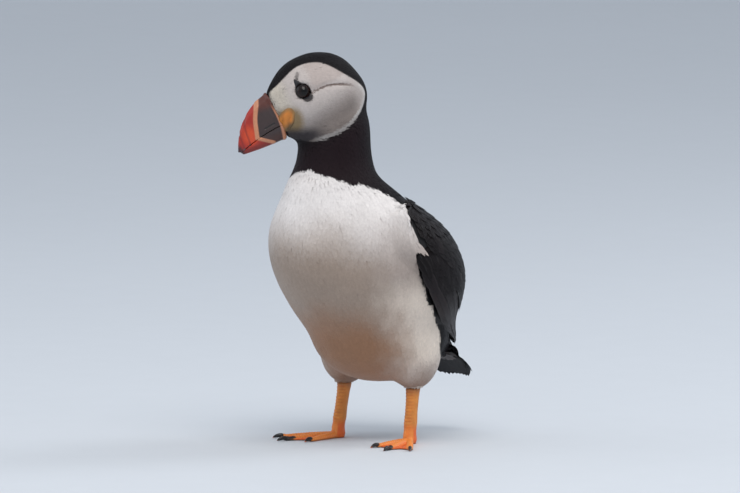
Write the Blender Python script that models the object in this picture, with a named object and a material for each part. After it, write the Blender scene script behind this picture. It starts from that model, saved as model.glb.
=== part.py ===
"""Atlantic puffin, a still life-size model, standing. Metres, +Z up; the bird faces -Y, its left is +X.

The plumed body is modelled whole, as two lofts joined and smoothed, and parted by thin flat cuts into
head, neck and trunk. Bill, eyes, wings, tail, legs and webbed feet are pieces of their own against it.
"""

import math

import bmesh
import bpy
from mathutils import Matrix, Vector

MM = 0.001
GAP = 0.35 * MM  # clearance between neighbouring pieces
RING_POINTS = 28
SKIN_GRAIN = 2.6 * MM  # the whole body's mesh before thinning
SKIN_SMOOTHING = 12
SKIN_KEPT = 0.16  # the share of its triangles that is kept

# Posture
HEAD_CENTRE = Vector((-6.9, -44.5, 210.0)) * MM
HEAD_TURN = math.radians(36)  # to the bird's right
HEAD_NOD = math.radians(18)  # bill down
TAIL_DROP = math.radians(30)
FOOT_SPLAY = math.radians(20)

# Trunk and neck: the axis as (sideways, forward, up), then half width, depth to the belly, depth to the
# back, in millimetres, from the rump up to the neck inside the head.
TRUNK_STATIONS = (
    (0, -66, 50, 8, 4, 4),
    (0, -56, 54, 14, 10, 7),
    (0, -35, 68, 28, 30, 16.5),
    (0, -15, 89, 46, 53, 32),
    (0, 3, 110, 51, 58, 35),
    (0, 16.5, 131, 49.5, 60, 28.5),
    (-0.5, 26, 147, 42.5, 55.5, 21.5),
    (-1.2, 31.5, 159, 30, 38, 19),
    (-1.4, 33, 168.5, 23.8, 26, 22),
    (-1.0, 34, 180, 21.5, 22, 21.5),
    (-1.0, 35, 194, 21.5, 20.5, 22),
    (-4, 40, 206, 19.5, 18.5, 19),
)
# Head: the middle of a ring as (forward, up) in the head's own frame, its half height, half width and
# the angle its top leans forward, from the back of the head to just past the bill's base.
HEAD_STATIONS = (
    (-31, -3.5, 4, 4, 0),
    (-29, -3, 9.5, 9, 0),
    (-23, 0, 18.5, 14.5, 0),
    (-13, 1.2, 24.2, 19.2, 0),
    (-2, 2.0, 25.6, 21, 0),
    (9, 1.2, 25, 19.6, 3),
    (17, -0.2, 21.7, 15.8, 5),
    (22.5, -0.9, 17.2, 11.8, 6),
    (27, -1.9, 15.2, 9, 7),
)
# Rounded masses under the trunk, as centre and radii: the belly between the legs, and each thigh
BELLY_CENTRE, BELLY_RADII = Vector((0, 6, 69)) * MM, Vector((40, 47, 33)) * MM
THIGH_RADII, THIGH_HEIGHT = Vector((13.5, 20, 23)) * MM, 55 * MM

# Cuts between head and neck, in the head's frame, and between neck and trunk, in the world
CHEEK_CUT_POINT, CHEEK_CUT_NORMAL = Vector((0, 0, -20.5)), Vector((0.17, 0, 1))
COLLAR_CUT_POINT, COLLAR_CUT_NORMAL = Vector((0, -33, 162)), Vector((0, 0.2, 1))

# Bill, in the head's frame as (forward, up), in millimetres
CULMEN = ((27.9, 12.9), (49.5, 6.5), (54.9, -16.8))
MOUTH = ((25.2, -7.5), (39.0, -9.3), (54.0, -16.6))
GONYS = ((24.2, -17.0), (38.0, -18.6), (52.5, -17.9))
BILL_HALF_WIDTH = 7.0 * MM
BILL_STEPS = 10

EYE_RADIUS = 4.6 * MM
EYE_AT = (8.4, 15.6, 8.9)  # forward, sideways, up in the head's frame, in millimetres

# Wing: place along the trunk's stations, then the front and back edge as angles round the trunk from the
# belly, in degrees, and the thickness in millimetres
WING_STATIONS = (
    (5.7, 96, 128, 2.0),
    (5.1, 84, 146, 3.8),
    (4.4, 80, 158, 7.2),
    (3.6, 79, 165, 8.6),
    (2.9, 80, 169, 8.2),
    (2.3, 85, 170, 5.8),
    (1.8, 94, 168, 4.4),
    (1.2, 108, 164, 3.4),
    (0.6, 124, 158, 2.4),
)
WING_ARC_STEPS = 8

TAIL_LENGTH = 42 * MM
TAIL_ROOT = Vector((0, 43, 60)) * MM
TAIL_HALF_WIDTHS = (12.5, 15.5, 18.5, 20.5, 18.0, 11.0)  # millimetres, root to tip
TAIL_THICKNESS = 4.2 * MM

# Legs and feet: heel as (sideways, forward) on the floor and the leg's top, in millimetres
LEGS = {
    "left": {"heel": (23.7, -6.0), "top": (24.5, -9.0), "side": 1},
    "right": {"heel": (-29.7, -1.0), "top": (-26.5, -5.0), "side": -1},
}
LEG_HALF_WIDTH, LEG_HALF_DEPTH = 3.0 * MM, 4.0 * MM
LEG_FOOT_HEIGHT = 6.0 * MM
LEG_TOP_HEIGHT = 42 * MM
LEG_SWELL = ((0, 1.12), (0.12, 1.0), (0.35, 0.88), (0.6, 0.92), (0.8, 1.12), (0.9, 1.25), (1, 1.25))
HEEL_KNOB = ((0, 3.3, 3.9), (2.5, 3.8, 4.6))  # height, half width and half depth, in millimetres
TOES = {  # spread from the middle toe in degrees, outwards positive, and length in millimetres
    "inner": (-24, 27),
    "middle": (0, 36),
    "outer": (22, 34),
}
TOE_RADIUS = 2.1 * MM
# Along a toe: share of its length, then half width, height and the sole's lift, as shares of the radius.
# The lift near the heel is taken once, twice and three times, so that no two soles there are level.
TOE_SECTIONS = (
    (-0.04, 1.0, 1.9, 0.12),
    (0.25, 0.95, 1.75, 0.07),
    (0.5, 1.02, 1.6, 0),
    (0.75, 0.92, 1.35, 0),
    (0.95, 0.85, 1.1, 0),
    (1.02, 0.5, 0.9, 0.1),
)
TOE_ARC_POINTS = 7
CLAW_LENGTH = 6.0 * MM
CLAW_RADIUS = 1.1 * MM
CLAW_SECTIONS = ((-0.3, 1.0, 0.5), (0.3, 0.8, 0.55), (0.7, 0.5, 0.35), (1.0, 0.2, 0.1))  # share, size, rise
WEB_FLOOR = 0.3 * MM
WEB_THICKNESS = 0.9 * MM
WEB_DIP = 0.13  # how far the web's edge curves back between two toes, as a share of their length


def clear_scene():
    for obj in list(bpy.data.objects):
        bpy.data.objects.remove(obj, do_unlink=True)


def make_material(name, colour, roughness):
    material = bpy.data.materials.new(name)
    material.use_nodes = True
    shader = material.node_tree.nodes["Principled BSDF"]
    shader.inputs["Base Color"].default_value = (*colour, 1)
    shader.inputs["Roughness"].default_value = roughness
    shader.inputs["Metallic"].default_value = 0
    return material


def object_of(name, bm):
    """A scene object of this bmesh, its faces pointing out."""
    bmesh.ops.recalc_face_normals(bm, faces=bm.faces)
    mesh = bpy.data.meshes.new(name)
    bm.to_mesh(mesh)
    bm.free()
    obj = bpy.data.objects.new(name, mesh)
    bpy.context.scene.collection.objects.link(obj)
    return obj


def loft(name, rings):
    """A closed solid through rings of points, one after another, with flat ends."""
    bm = bmesh.new()
    rows = [[bm.verts.new(point) for point in ring] for ring in rings]
    count = len(rows[0])
    for low, high in zip(rows, rows[1:]):
        for i in range(count):
            j = (i + 1) % count
            bm.faces.new((low[i], low[j], high[j], high[i]))
    bm.faces.new(rows[0])
    bm.faces.new(rows[-1])
    return object_of(name, bm)


def between(stations, place):
    """The values at a fractional place along the stations, on a smooth curve through them."""
    last = len(stations) - 1
    i = min(int(place), last - 1)
    t = place - i
    before, low, high, after = (
        stations[max(0, min(last, i + step))] for step in (-1, 0, 1, 2)
    )
    values = []
    for a, b, c, d in zip(before, low, high, after):
        values.append(
            0.5 * (2 * b + (c - a) * t + (2 * a - 5 * b + 4 * c - d) * t * t
                   + (3 * b - a - 3 * c + d) * t ** 3)
        )
    return values


def trunk_point(place, angle, grow=0.0):
    """A point on the trunk's ring at that place, angle 0 at the belly and pi at the back."""
    side, forward, up, width, belly, back = between(TRUNK_STATIONS, place)
    ahead = between(TRUNK_STATIONS, min(place + 0.2, len(TRUNK_STATIONS) - 1))
    behind = between(TRUNK_STATIONS, max(place - 0.2, 0))
    run = Vector((ahead[1] - behind[1], ahead[2] - behind[2])).normalized()
    depth = belly if math.cos(angle) > 0 else back
    reach = math.cos(angle) * (depth * MM + grow)
    return Vector((
        side * MM + math.sin(angle) * (width * MM + grow),
        -(forward * MM + run.y * reach),
        up * MM - run.x * reach,
    ))


def head_frame():
    """From the head's frame (forward, left, up) to the world."""
    level = Vector((-math.sin(HEAD_TURN), -math.cos(HEAD_TURN), 0))
    forward = level * math.cos(HEAD_NOD) - Vector((0, 0, math.sin(HEAD_NOD)))
    up = level * math.sin(HEAD_NOD) + Vector((0, 0, math.cos(HEAD_NOD)))
    left = up.cross(forward)
    axes = Matrix((forward, left, up)).transposed().to_4x4()
    return Matrix.Translation(HEAD_CENTRE) @ axes


def circle_angles(count):
    return [2 * math.pi * i / count for i in range(count)]


def trunk_loft():
    steps = 2 * (len(TRUNK_STATIONS) - 1)
    rings = [
        [trunk_point(i / 2, angle) for angle in circle_angles(RING_POINTS)]
        for i in range(steps + 1)
    ]
    return loft("trunk_form", rings)


def head_ring(place, frame):
    forward, up, half_height, half_width, lean = between(HEAD_STATIONS, place)
    lean = math.radians(lean)
    points = []
    for angle in circle_angles(RING_POINTS):
        rise = math.cos(angle) * half_height
        points.append(frame @ (Vector((
            forward + rise * math.sin(lean),
            math.sin(angle) * half_width,
            up + rise * math.cos(lean),
        )) * MM))
    return points


def head_loft(frame):
    steps = 2 * (len(HEAD_STATIONS) - 1)
    return loft("head_form", [head_ring(i / 2, frame) for i in range(steps + 1)])


def ball(name, centre, radii, segments=16, rings=9):
    bm = bmesh.new()
    bmesh.ops.create_uvsphere(
        bm, u_segments=segments, v_segments=rings, radius=1,
        matrix=Matrix.Translation(centre) @ Matrix.Diagonal((*radii, 1)),
    )
    return object_of(name, bm)


def boolean(obj, other, operation, solver="EXACT"):
    """Adds a Boolean with a helper that isn't part of the model itself."""
    modifier = obj.modifiers.new(operation.lower() + "_" + other.name, "BOOLEAN")
    modifier.object = other
    modifier.operation = operation
    modifier.solver = solver
    other.hide_render = True
    other.display_type = "WIRE"


def settled(obj):
    """Replaces an object's mesh by the one its modifiers make."""
    bpy.context.view_layer.update()
    graph = bpy.context.evaluated_depsgraph_get()
    mesh = bpy.data.meshes.new_from_object(obj.evaluated_get(graph))
    obj.modifiers.clear()
    obj.data = mesh
    return obj


def whole_body(frame):
    """Trunk, thighs, neck and head as one smooth closed skin, out to the feather tips."""
    body = trunk_loft()
    boolean(body, head_loft(frame), "UNION")
    boolean(body, ball("belly", BELLY_CENTRE, BELLY_RADII), "UNION")
    for side, leg in LEGS.items():
        sideways, forward = leg["top"]
        centre = Vector((sideways * MM, -forward * MM, THIGH_HEIGHT))
        boolean(body, ball("thigh_" + side, centre, THIGH_RADII), "UNION")
    remesh = body.modifiers.new("remesh", "REMESH")
    remesh.mode = "VOXEL"
    remesh.voxel_size = SKIN_GRAIN
    smooth = body.modifiers.new("smooth", "SMOOTH")
    smooth.factor = 0.5
    smooth.iterations = SKIN_SMOOTHING
    decimate = body.modifiers.new("decimate", "DECIMATE")
    decimate.ratio = SKIN_KEPT
    return settled(body)


def kept_between(body, name, planes):
    """The stretch of the body behind each (point, normal) plane, with its cut ends closed."""
    bm = bmesh.new()
    bm.from_mesh(body.data)
    for point, normal in planes:
        cut = bmesh.ops.bisect_plane(
            bm, geom=bm.verts[:] + bm.edges[:] + bm.faces[:], plane_co=point, plane_no=normal,
            dist=1e-6, clear_outer=True,
        )
        rim = [item for item in cut["geom_cut"] if isinstance(item, bmesh.types.BMEdge)]
        bmesh.ops.holes_fill(bm, edges=rim, sides=0)
    bmesh.ops.triangulate(bm, faces=[face for face in bm.faces if len(face.verts) > 3])
    return object_of(name, bm)


def parted(body, frame):
    """Head, neck and trunk: cut square to the bill, under the cheeks, and along the collar's lower edge."""
    turned = frame.to_3x3()
    brow, chin = Vector(CULMEN[0]), Vector(GONYS[0])
    bill_normal = turned @ Vector((brow.y - chin.y, 0, chin.x - brow.x)).normalized()
    bill_point = frame @ (Vector((brow.x, 0, brow.y)) * MM) - bill_normal * GAP
    cheek_point, cheek_normal = frame @ (CHEEK_CUT_POINT * MM), turned @ CHEEK_CUT_NORMAL.normalized()
    collar_point, collar_normal = COLLAR_CUT_POINT * MM, COLLAR_CUT_NORMAL.normalized()
    half = GAP / 2
    return (
        kept_between(body, "head", (
            (bill_point, bill_normal),
            (cheek_point + cheek_normal * half, -cheek_normal),
        )),
        kept_between(body, "neck", (
            (cheek_point - cheek_normal * half, cheek_normal),
            (collar_point + collar_normal * half, -collar_normal),
        )),
        kept_between(body, "trunk", ((collar_point - collar_normal * half, collar_normal),)),
    )


def inflated(obj, name, by):
    """A helper copy of an object grown along its normals."""
    bm = bmesh.new()
    bm.from_mesh(obj.data)
    bm.normal_update()
    moves = [vertex.normal * by for vertex in bm.verts]
    for vertex, move in zip(bm.verts, moves):
        vertex.co += move
    helper = object_of(name, bm)
    helper.hide_render = True
    helper.display_type = "WIRE"
    return helper


def curve_at(points, t):
    """A quadratic curve from the first point to the last."""
    start, bend, end = (Vector(point) for point in points)
    return start * (1 - t) ** 2 + bend * 2 * t * (1 - t) + end * t * t


def bill_half(name, edge, gape_gap, frame):
    """One half of the bill: from the mouth line to its outer edge, widest at the mouth."""
    rings = []
    for i in range(BILL_STEPS + 1):
        t = i / BILL_STEPS * 0.97
        inner = curve_at(MOUTH, t) * MM
        outer = curve_at(edge, t) * MM
        inner += (outer - inner).normalized() * gape_gap
        half = BILL_HALF_WIDTH * (1 - t) ** 0.75 + 0.9 * MM
        profile = ((0, 1.0), (0.45, 0.86), (0.9, 0.3), (1.0, 0.0))
        section = []
        for sign, shares in ((1, profile), (-1, reversed(profile[1:]))):
            for width, out in shares:
                at = inner.lerp(outer, out)
                section.append(frame @ Vector((at.x, sign * width * half, at.y)))
        rings.append(section)
    return loft(name, rings)


def wing(side_name, side, trunk_cutter):
    """A folded wing: a cambered blade wrapped round the trunk's side, its inside cut to fit it."""
    rings = []
    for i in range(2 * (len(WING_STATIONS) - 1) + 1):
        place, front, back, thickness = between(WING_STATIONS, i / 2)
        angles = [
            math.radians(front + (back - front) * j / WING_ARC_STEPS)
            for j in range(WING_ARC_STEPS + 1)
        ]
        outer = []
        for j, angle in enumerate(angles):
            camber = math.sin(math.pi * (0.12 + 0.76 * j / WING_ARC_STEPS)) ** 0.6
            outer.append(trunk_point(place, angle, thickness * MM * camber))
        inner = [trunk_point(place, angle, -2.5 * MM) for angle in angles[1:-1]]
        section = outer + inner[::-1]
        rings.append([Vector((side * point.x, point.y, point.z)) for point in section])
    blade = loft("wing_" + side_name, rings)
    boolean(blade, trunk_cutter, "DIFFERENCE")
    return blade


def tail(trunk_cutter, wing_cutters):
    """The short fan of tail feathers, a little arched from side to side."""
    back = Vector((0, math.cos(TAIL_DROP), -math.sin(TAIL_DROP)))
    up = Vector((0, math.sin(TAIL_DROP), math.cos(TAIL_DROP)))
    rings = []
    for i, half_width in enumerate(TAIL_HALF_WIDTHS):
        t = i / (len(TAIL_HALF_WIDTHS) - 1)
        thick = TAIL_THICKNESS * (1 - 0.7 * t)
        shares = [-1, -0.75, -0.4, 0, 0.4, 0.75, 1]
        top, bottom = [], []
        for share in shares:
            point = TAIL_ROOT + back * TAIL_LENGTH * t + Vector((share * half_width * MM, 0, 0))
            point -= up * 3.0 * MM * share * share
            top.append(point + up * thick / 2)
            bottom.append(point - up * thick / 2)
        rings.append(top + bottom[::-1])
    fan = loft("tail", rings)
    boolean(fan, trunk_cutter, "DIFFERENCE")
    for cutter in wing_cutters:
        boolean(fan, cutter, "DIFFERENCE")
    return fan


def rod(name, points, half_widths, half_depths, sides=14):
    """An upright rod through points, oval in plan, with its two radii at each."""
    rings = [
        [
            point + Vector((math.cos(angle) * wide, math.sin(angle) * deep, 0))
            for angle in circle_angles(sides)
        ]
        for point, wide, deep in zip(points, half_widths, half_depths)
    ]
    return loft(name, rings)


def leg(side_name, leg_values, trunk_cutter):
    """The bare shank, from the foot up into the belly feathers."""
    heel = Vector((leg_values["heel"][0] * MM, -leg_values["heel"][1] * MM, LEG_FOOT_HEIGHT))
    top = Vector((leg_values["top"][0] * MM, -leg_values["top"][1] * MM, LEG_TOP_HEIGHT))
    shank = rod(
        "leg_" + side_name,
        [heel.lerp(top, share) for share, _ in LEG_SWELL],
        [LEG_HALF_WIDTH * swell for _, swell in LEG_SWELL],
        [LEG_HALF_DEPTH * swell for _, swell in LEG_SWELL],
    )
    boolean(shank, trunk_cutter, "DIFFERENCE")
    return shank


def toe_ring(centre, across, radius, height, lift):
    """A toe's section: a flat sole, lifted a little near the heel, under a round back."""
    sole = centre + Vector((0, 0, lift))
    section = [sole - across * radius * 0.7, sole + across * radius * 0.7]
    for i in range(TOE_ARC_POINTS):
        angle = math.pi * (i + 0.5) / TOE_ARC_POINTS
        rise = Vector((0, 0, lift + (height - lift) * (0.15 + 0.85 * math.sin(angle))))
        section.append(centre + across * radius * math.cos(angle) + rise)
    return section


def toe(name, heel, along, length, order):
    """One toe on the floor, from the heel to the root of its claw."""
    across = Vector((along.y, -along.x, 0))
    rings = [
        toe_ring(heel + along * length * share, across, TOE_RADIUS * width, TOE_RADIUS * height,
                 TOE_RADIUS * lift * order)
        for share, width, height, lift in TOE_SECTIONS
    ]
    return loft("toe_" + name, rings)


def claw(name, toe_end, along):
    """A round tapering claw that comes down to the floor in front of the toe."""
    across = Vector((along.y, -along.x, 0))
    rings = []
    for share, size, rise in CLAW_SECTIONS:
        centre = toe_end + along * CLAW_LENGTH * share + Vector((0, 0, rise * MM))
        rings.append([
            centre + (across * math.cos(angle) + Vector((0, 0, 1 + math.sin(angle)))) * size * CLAW_RADIUS
            for angle in circle_angles(8)
        ])
    return loft("claw_" + name, rings)


def web(name, heel, ends):
    """The thin skin between the toes, its edge curved back between each two."""
    middle = sum(ends, Vector()) / len(ends)
    outline = [heel - (middle - heel).normalized() * MM]
    for end, following in zip(ends, ends[1:]):
        outline += [end, end.lerp(following, 0.5).lerp(heel, WEB_DIP)]
    outline.append(ends[-1])
    bm = bmesh.new()
    base = bm.faces.new([bm.verts.new(point + Vector((0, 0, WEB_FLOOR))) for point in outline])
    raised = bmesh.ops.extrude_face_region(bm, geom=[base])
    bmesh.ops.translate(
        bm, vec=(0, 0, WEB_THICKNESS),
        verts=[item for item in raised["geom"] if isinstance(item, bmesh.types.BMVert)],
    )
    return object_of("web_" + name, bm)


def foot(side_name, leg_values):
    """A webbed foot: the heel's knob, three toes with claws, and the web; the toes stand on the floor."""
    heel = Vector((leg_values["heel"][0] * MM, -leg_values["heel"][1] * MM, 0))
    knob_rings = [(height * MM, wide * MM, deep * MM) for height, wide, deep in HEEL_KNOB]
    knob_rings.append((LEG_FOOT_HEIGHT - GAP, LEG_HALF_WIDTH * 1.12, LEG_HALF_DEPTH * 1.12))
    knob = rod(
        "foot_" + side_name,
        [heel + Vector((0, 0, height)) for height, _, _ in knob_rings],
        [wide for _, wide, _ in knob_rings],
        [deep for _, _, deep in knob_rings],
    )
    ends, extras = [], []
    for order, (toe_name, (spread, length)) in enumerate(TOES.items(), start=1):
        name = f"{toe_name}_{side_name}"
        turn = leg_values["side"] * (FOOT_SPLAY + math.radians(spread))
        along = Vector((math.sin(turn), -math.cos(turn), 0))
        end = heel + along * length * MM
        extras += [toe(name, heel, along, length * MM, order), claw(name, end, along)]
        ends.append(heel.lerp(end, 0.97))
    for extra in extras + [web(side_name, heel, ends)]:
        boolean(knob, extra, "UNION", "MANIFOLD")
    return knob


def rest_on_origin(nodes):
    """Moves the whole bird so that the middle of its box's floor is the origin."""
    bpy.context.view_layer.update()
    graph = bpy.context.evaluated_depsgraph_get()
    corners = []
    for node in nodes:
        mesh = node.evaluated_get(graph).to_mesh()
        corners += [vertex.co.copy() for vertex in mesh.vertices]
        node.evaluated_get(graph).to_mesh_clear()
    low = Vector([min(corner[i] for corner in corners) for i in range(3)])
    high = Vector([max(corner[i] for corner in corners) for i in range(3)])
    middle = Vector(((low.x + high.x) / 2, (low.y + high.y) / 2, low.z))
    for obj in bpy.data.objects:
        obj.location = obj.location - middle


def finish(node, material):
    node.data.materials.clear()
    node.data.materials.append(material)
    node.data.shade_smooth()
    node.data.set_sharp_from_angle(angle=math.radians(40))


def main():
    clear_scene()
    white = make_material("white_plumage", (0.82, 0.80, 0.77), 0.85)
    black = make_material("black_plumage", (0.018, 0.016, 0.016), 0.6)
    grey = make_material("face_plumage", (0.52, 0.50, 0.49), 0.8)
    horn = make_material("bill_horn", (0.72, 0.10, 0.03), 0.4)
    skin = make_material("orange_skin", (0.85, 0.20, 0.02), 0.5)
    eye = make_material("eye", (0.01, 0.008, 0.008), 0.08)

    frame = head_frame()
    body = whole_body(frame)
    trunk_cutter = inflated(body, "body_grown", GAP)

    head, neck, trunk = parted(body, frame)
    body.hide_render = True
    body.display_type = "WIRE"

    upper = bill_half("bill_upper", CULMEN, GAP / 2, frame)
    lower = bill_half("bill_lower", GONYS, GAP / 2, frame)
    nodes = [(head, grey), (neck, black), (trunk, white), (upper, horn), (lower, horn)]

    for side_name, side in (("left", 1), ("right", -1)):
        forward, sideways, up = EYE_AT
        centre = frame @ (Vector((forward, side * sideways, up)) * MM)
        nodes.append((ball("eye_" + side_name, centre, [EYE_RADIUS] * 3), eye))
        boolean(head, ball("socket_" + side_name, centre, [EYE_RADIUS + GAP] * 3), "DIFFERENCE")

    wings = [wing(name, side, trunk_cutter) for name, side in (("left", 1), ("right", -1))]
    nodes += [(blade, black) for blade in wings]
    wing_cutters = [inflated(settled(blade), blade.name + "_grown", GAP) for blade in wings]
    nodes.append((tail(trunk_cutter, wing_cutters), black))
    for side_name, leg_values in LEGS.items():
        nodes.append((leg(side_name, leg_values, trunk_cutter), skin))
        nodes.append((foot(side_name, leg_values), skin))

    for node, material in nodes:
        finish(node, material)
    rest_on_origin([node for node, _ in nodes])


main()
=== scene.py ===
# Atlantic puffin, life size: the skin, the plumage, the bill, the eyes, the wings, the tail and the feet.
# Metres, +Z up. The bird faces -Y and its left is +X. Lengths written with "* mm" are in millimetres.
import math
import bpy
import bmesh
import numpy as np
from mathutils import Matrix, Vector
from mathutils.bvhtree import BVHTree
from mathutils.kdtree import KDTree


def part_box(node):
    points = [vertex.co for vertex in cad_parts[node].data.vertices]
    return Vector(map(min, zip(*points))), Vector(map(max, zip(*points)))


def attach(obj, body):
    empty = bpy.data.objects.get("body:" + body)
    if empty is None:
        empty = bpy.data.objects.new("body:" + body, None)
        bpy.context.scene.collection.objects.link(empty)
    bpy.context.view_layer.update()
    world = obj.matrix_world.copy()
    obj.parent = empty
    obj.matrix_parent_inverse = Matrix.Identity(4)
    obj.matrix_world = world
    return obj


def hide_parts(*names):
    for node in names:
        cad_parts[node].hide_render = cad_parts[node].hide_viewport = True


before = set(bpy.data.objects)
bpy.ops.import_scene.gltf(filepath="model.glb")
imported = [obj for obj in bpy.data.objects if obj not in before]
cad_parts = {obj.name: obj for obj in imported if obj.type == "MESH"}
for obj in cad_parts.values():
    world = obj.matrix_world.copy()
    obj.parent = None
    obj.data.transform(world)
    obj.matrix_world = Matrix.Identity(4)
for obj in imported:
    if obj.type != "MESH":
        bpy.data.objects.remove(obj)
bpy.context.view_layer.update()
mm = 0.001
chance = np.random.default_rng(31)
sides = {"left": 1, "right": -1}


def paint(red, green, blue):
    # a colour as a painter's swatch (0 to 255) made linear
    swatch = np.array([red, green, blue], float) / 255
    return np.where(swatch <= 0.04045, swatch / 12.92, ((swatch + 0.055) / 1.055) ** 2.4)


def ease(low, high, value):
    share = np.clip((np.asarray(value, float) - low) / (high - low), 0, 1)
    return share * share * (3 - 2 * share)


def mixed(first, second, share):
    share = np.asarray(share, float)[..., None]
    return first * (1 - share) + second * share


def unit(vectors):
    return vectors / np.maximum(np.linalg.norm(vectors, axis=-1, keepdims=True), 1e-12)


def smoothCurve(points, steps=8, closed=False):
    # a rounded line through a few chosen points
    points = np.array(points, float)
    if closed:
        padded = np.vstack([points[-1:], points, points[:2]])
    else:
        padded = np.vstack([2 * points[0] - points[1], points, 2 * points[-1] - points[-2]])
    line = []
    for k in range(1, len(padded) - 2):
        a, b, c, d = padded[k - 1:k + 3]
        for t in np.arange(steps) / steps:
            line.append(0.5 * (2 * b + (c - a) * t + (2 * a - 5 * b + 4 * c - d) * t * t
                               + (3 * b - a - 3 * c + d) * t ** 3))
    if not closed:
        line.append(points[-1])
    return np.array(line)


def toLine(points, line, closed=False):
    # for points in a plane: how far the line is, and how far along it the nearest place is (0 to 1)
    starts = line if closed else line[:-1]
    ends = np.roll(line, -1, axis=0) if closed else line[1:]
    best = np.full(len(points), 1e9)
    along = np.zeros(len(points))
    for k, (a, b) in enumerate(zip(starts, ends)):
        ab = b - a
        t = np.clip(((points - a) @ ab) / max(ab @ ab, 1e-12), 0, 1)
        away = np.linalg.norm(points - a - t[:, None] * ab, axis=1)
        nearer = away < best
        best = np.where(nearer, away, best)
        along = np.where(nearer, (k + t) / len(starts), along)
    return best, along


def insideLine(points, line):
    # signed distance to a closed line: positive inside it
    away, _ = toLine(points, line, closed=True)
    inside = np.zeros(len(points), bool)
    for a, b in zip(line, np.roll(line, -1, axis=0)):
        crosses = (a[1] > points[:, 1]) != (b[1] > points[:, 1])
        level = (points[:, 1] - a[1]) / (b[1] - a[1] if b[1] != a[1] else 1e-9)
        inside ^= crosses & (points[:, 0] < a[0] + level * (b[0] - a[0]))
    return np.where(inside, away, -away)


def deselected():
    if bpy.context.object and bpy.context.object.mode != "OBJECT":
        bpy.ops.object.mode_set(mode="OBJECT")
    bpy.ops.object.select_all(action="DESELECT")


def active(piece):
    deselected()
    piece.select_set(True)
    bpy.context.view_layer.objects.active = piece


def modified(piece, kind, **values):
    modifier = piece.modifiers.new(kind.lower(), kind)
    for name, value in values.items():
        setattr(modifier, name, value)
    active(piece)
    bpy.ops.object.modifier_apply(modifier=modifier.name)


def turnedOut(piece):
    # faces point outwards, and shade smooth
    active(piece)
    bpy.ops.object.mode_set(mode="EDIT")
    bpy.ops.mesh.select_all(action="SELECT")
    bpy.ops.mesh.normals_make_consistent(inside=False)
    bpy.ops.object.mode_set(mode="OBJECT")
    piece.data.shade_smooth()


def vertexPlaces(piece):
    places = np.empty(len(piece.data.vertices) * 3)
    piece.data.vertices.foreach_get("co", places)
    return places.reshape(-1, 3)


def vertexNormals(piece):
    normals = np.empty(len(piece.data.vertices) * 3, np.float32)
    piece.data.vertex_normals.foreach_get("vector", normals)
    return normals.reshape(-1, 3).astype(float)


def movedTo(piece, places):
    piece.data.vertices.foreach_set("co", places.astype(np.float32).ravel())
    piece.data.update()


def tinted(piece, colours):
    # a colour at each vertex, which the materials read
    values = np.ones((len(piece.data.vertices), 4), np.float32)
    values[:, :3] = colours
    attribute = piece.data.attributes.new("plumage", "FLOAT_COLOR", "POINT")
    attribute.data.foreach_set("color", values.ravel())


def nodesCopied(name, nodes, swell=0.0):
    # a copy of CAD nodes as one mesh; a little swell makes neighbours meet across their gap
    mesh = bmesh.new()
    for node in nodes:
        mesh.from_mesh(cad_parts[node].data)
    bmesh.ops.remove_doubles(mesh, verts=mesh.verts, dist=0.001 * mm)
    mesh.normal_update()
    for vertex, normal in [(vertex, vertex.normal.copy()) for vertex in mesh.verts]:
        vertex.co += normal * swell
    data = bpy.data.meshes.new(name)
    mesh.to_mesh(data)
    mesh.free()
    piece = bpy.data.objects.new(name, data)
    bpy.context.scene.collection.objects.link(piece)
    return piece


def surfaceTree(piece):
    mesh = bmesh.new()
    mesh.from_mesh(piece.data)
    tree = BVHTree.FromBMesh(mesh)
    mesh.free()
    return tree


def placed(piece, material, slot, *nodes):
    piece.data.materials.clear()
    piece.data.materials.append(material)
    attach(piece, "root")
    if nodes:
        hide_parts(*nodes)
    return piece


# where the eyes are in the head's own axes (mm), and how far the bill droops (degrees)
headPlace = {"eyeForward": 8.4, "eyeUp": 8.9, "nod": 18.0}


def boxMiddle(node):
    low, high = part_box(node)
    return (low + high) / 2


eyes = {side: boxMiddle("eye_" + side) for side in sides}
headLeft = (eyes["left"] - eyes["right"]).normalized()
level = headLeft.cross(Vector((0, 0, 1))).normalized()
nod = math.radians(headPlace["nod"])
headForward = level * math.cos(nod) - Vector((0, 0, 1)) * math.sin(nod)
headUp = level * math.sin(nod) + Vector((0, 0, 1)) * math.cos(nod)
headCentre = ((eyes["left"] + eyes["right"]) / 2
              - headForward * headPlace["eyeForward"] * mm - headUp * headPlace["eyeUp"] * mm)
headAxes = np.array([headForward, headLeft, headUp])


def inHead(points):
    # world places as millimetres forward, left and up from the head's centre
    return (np.asarray(points) - np.array(headCentre)) @ headAxes.T / mm


def fromHead(forward, left, up):
    return headCentre + (headForward * forward + headLeft * left + headUp * up) * mm


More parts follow.
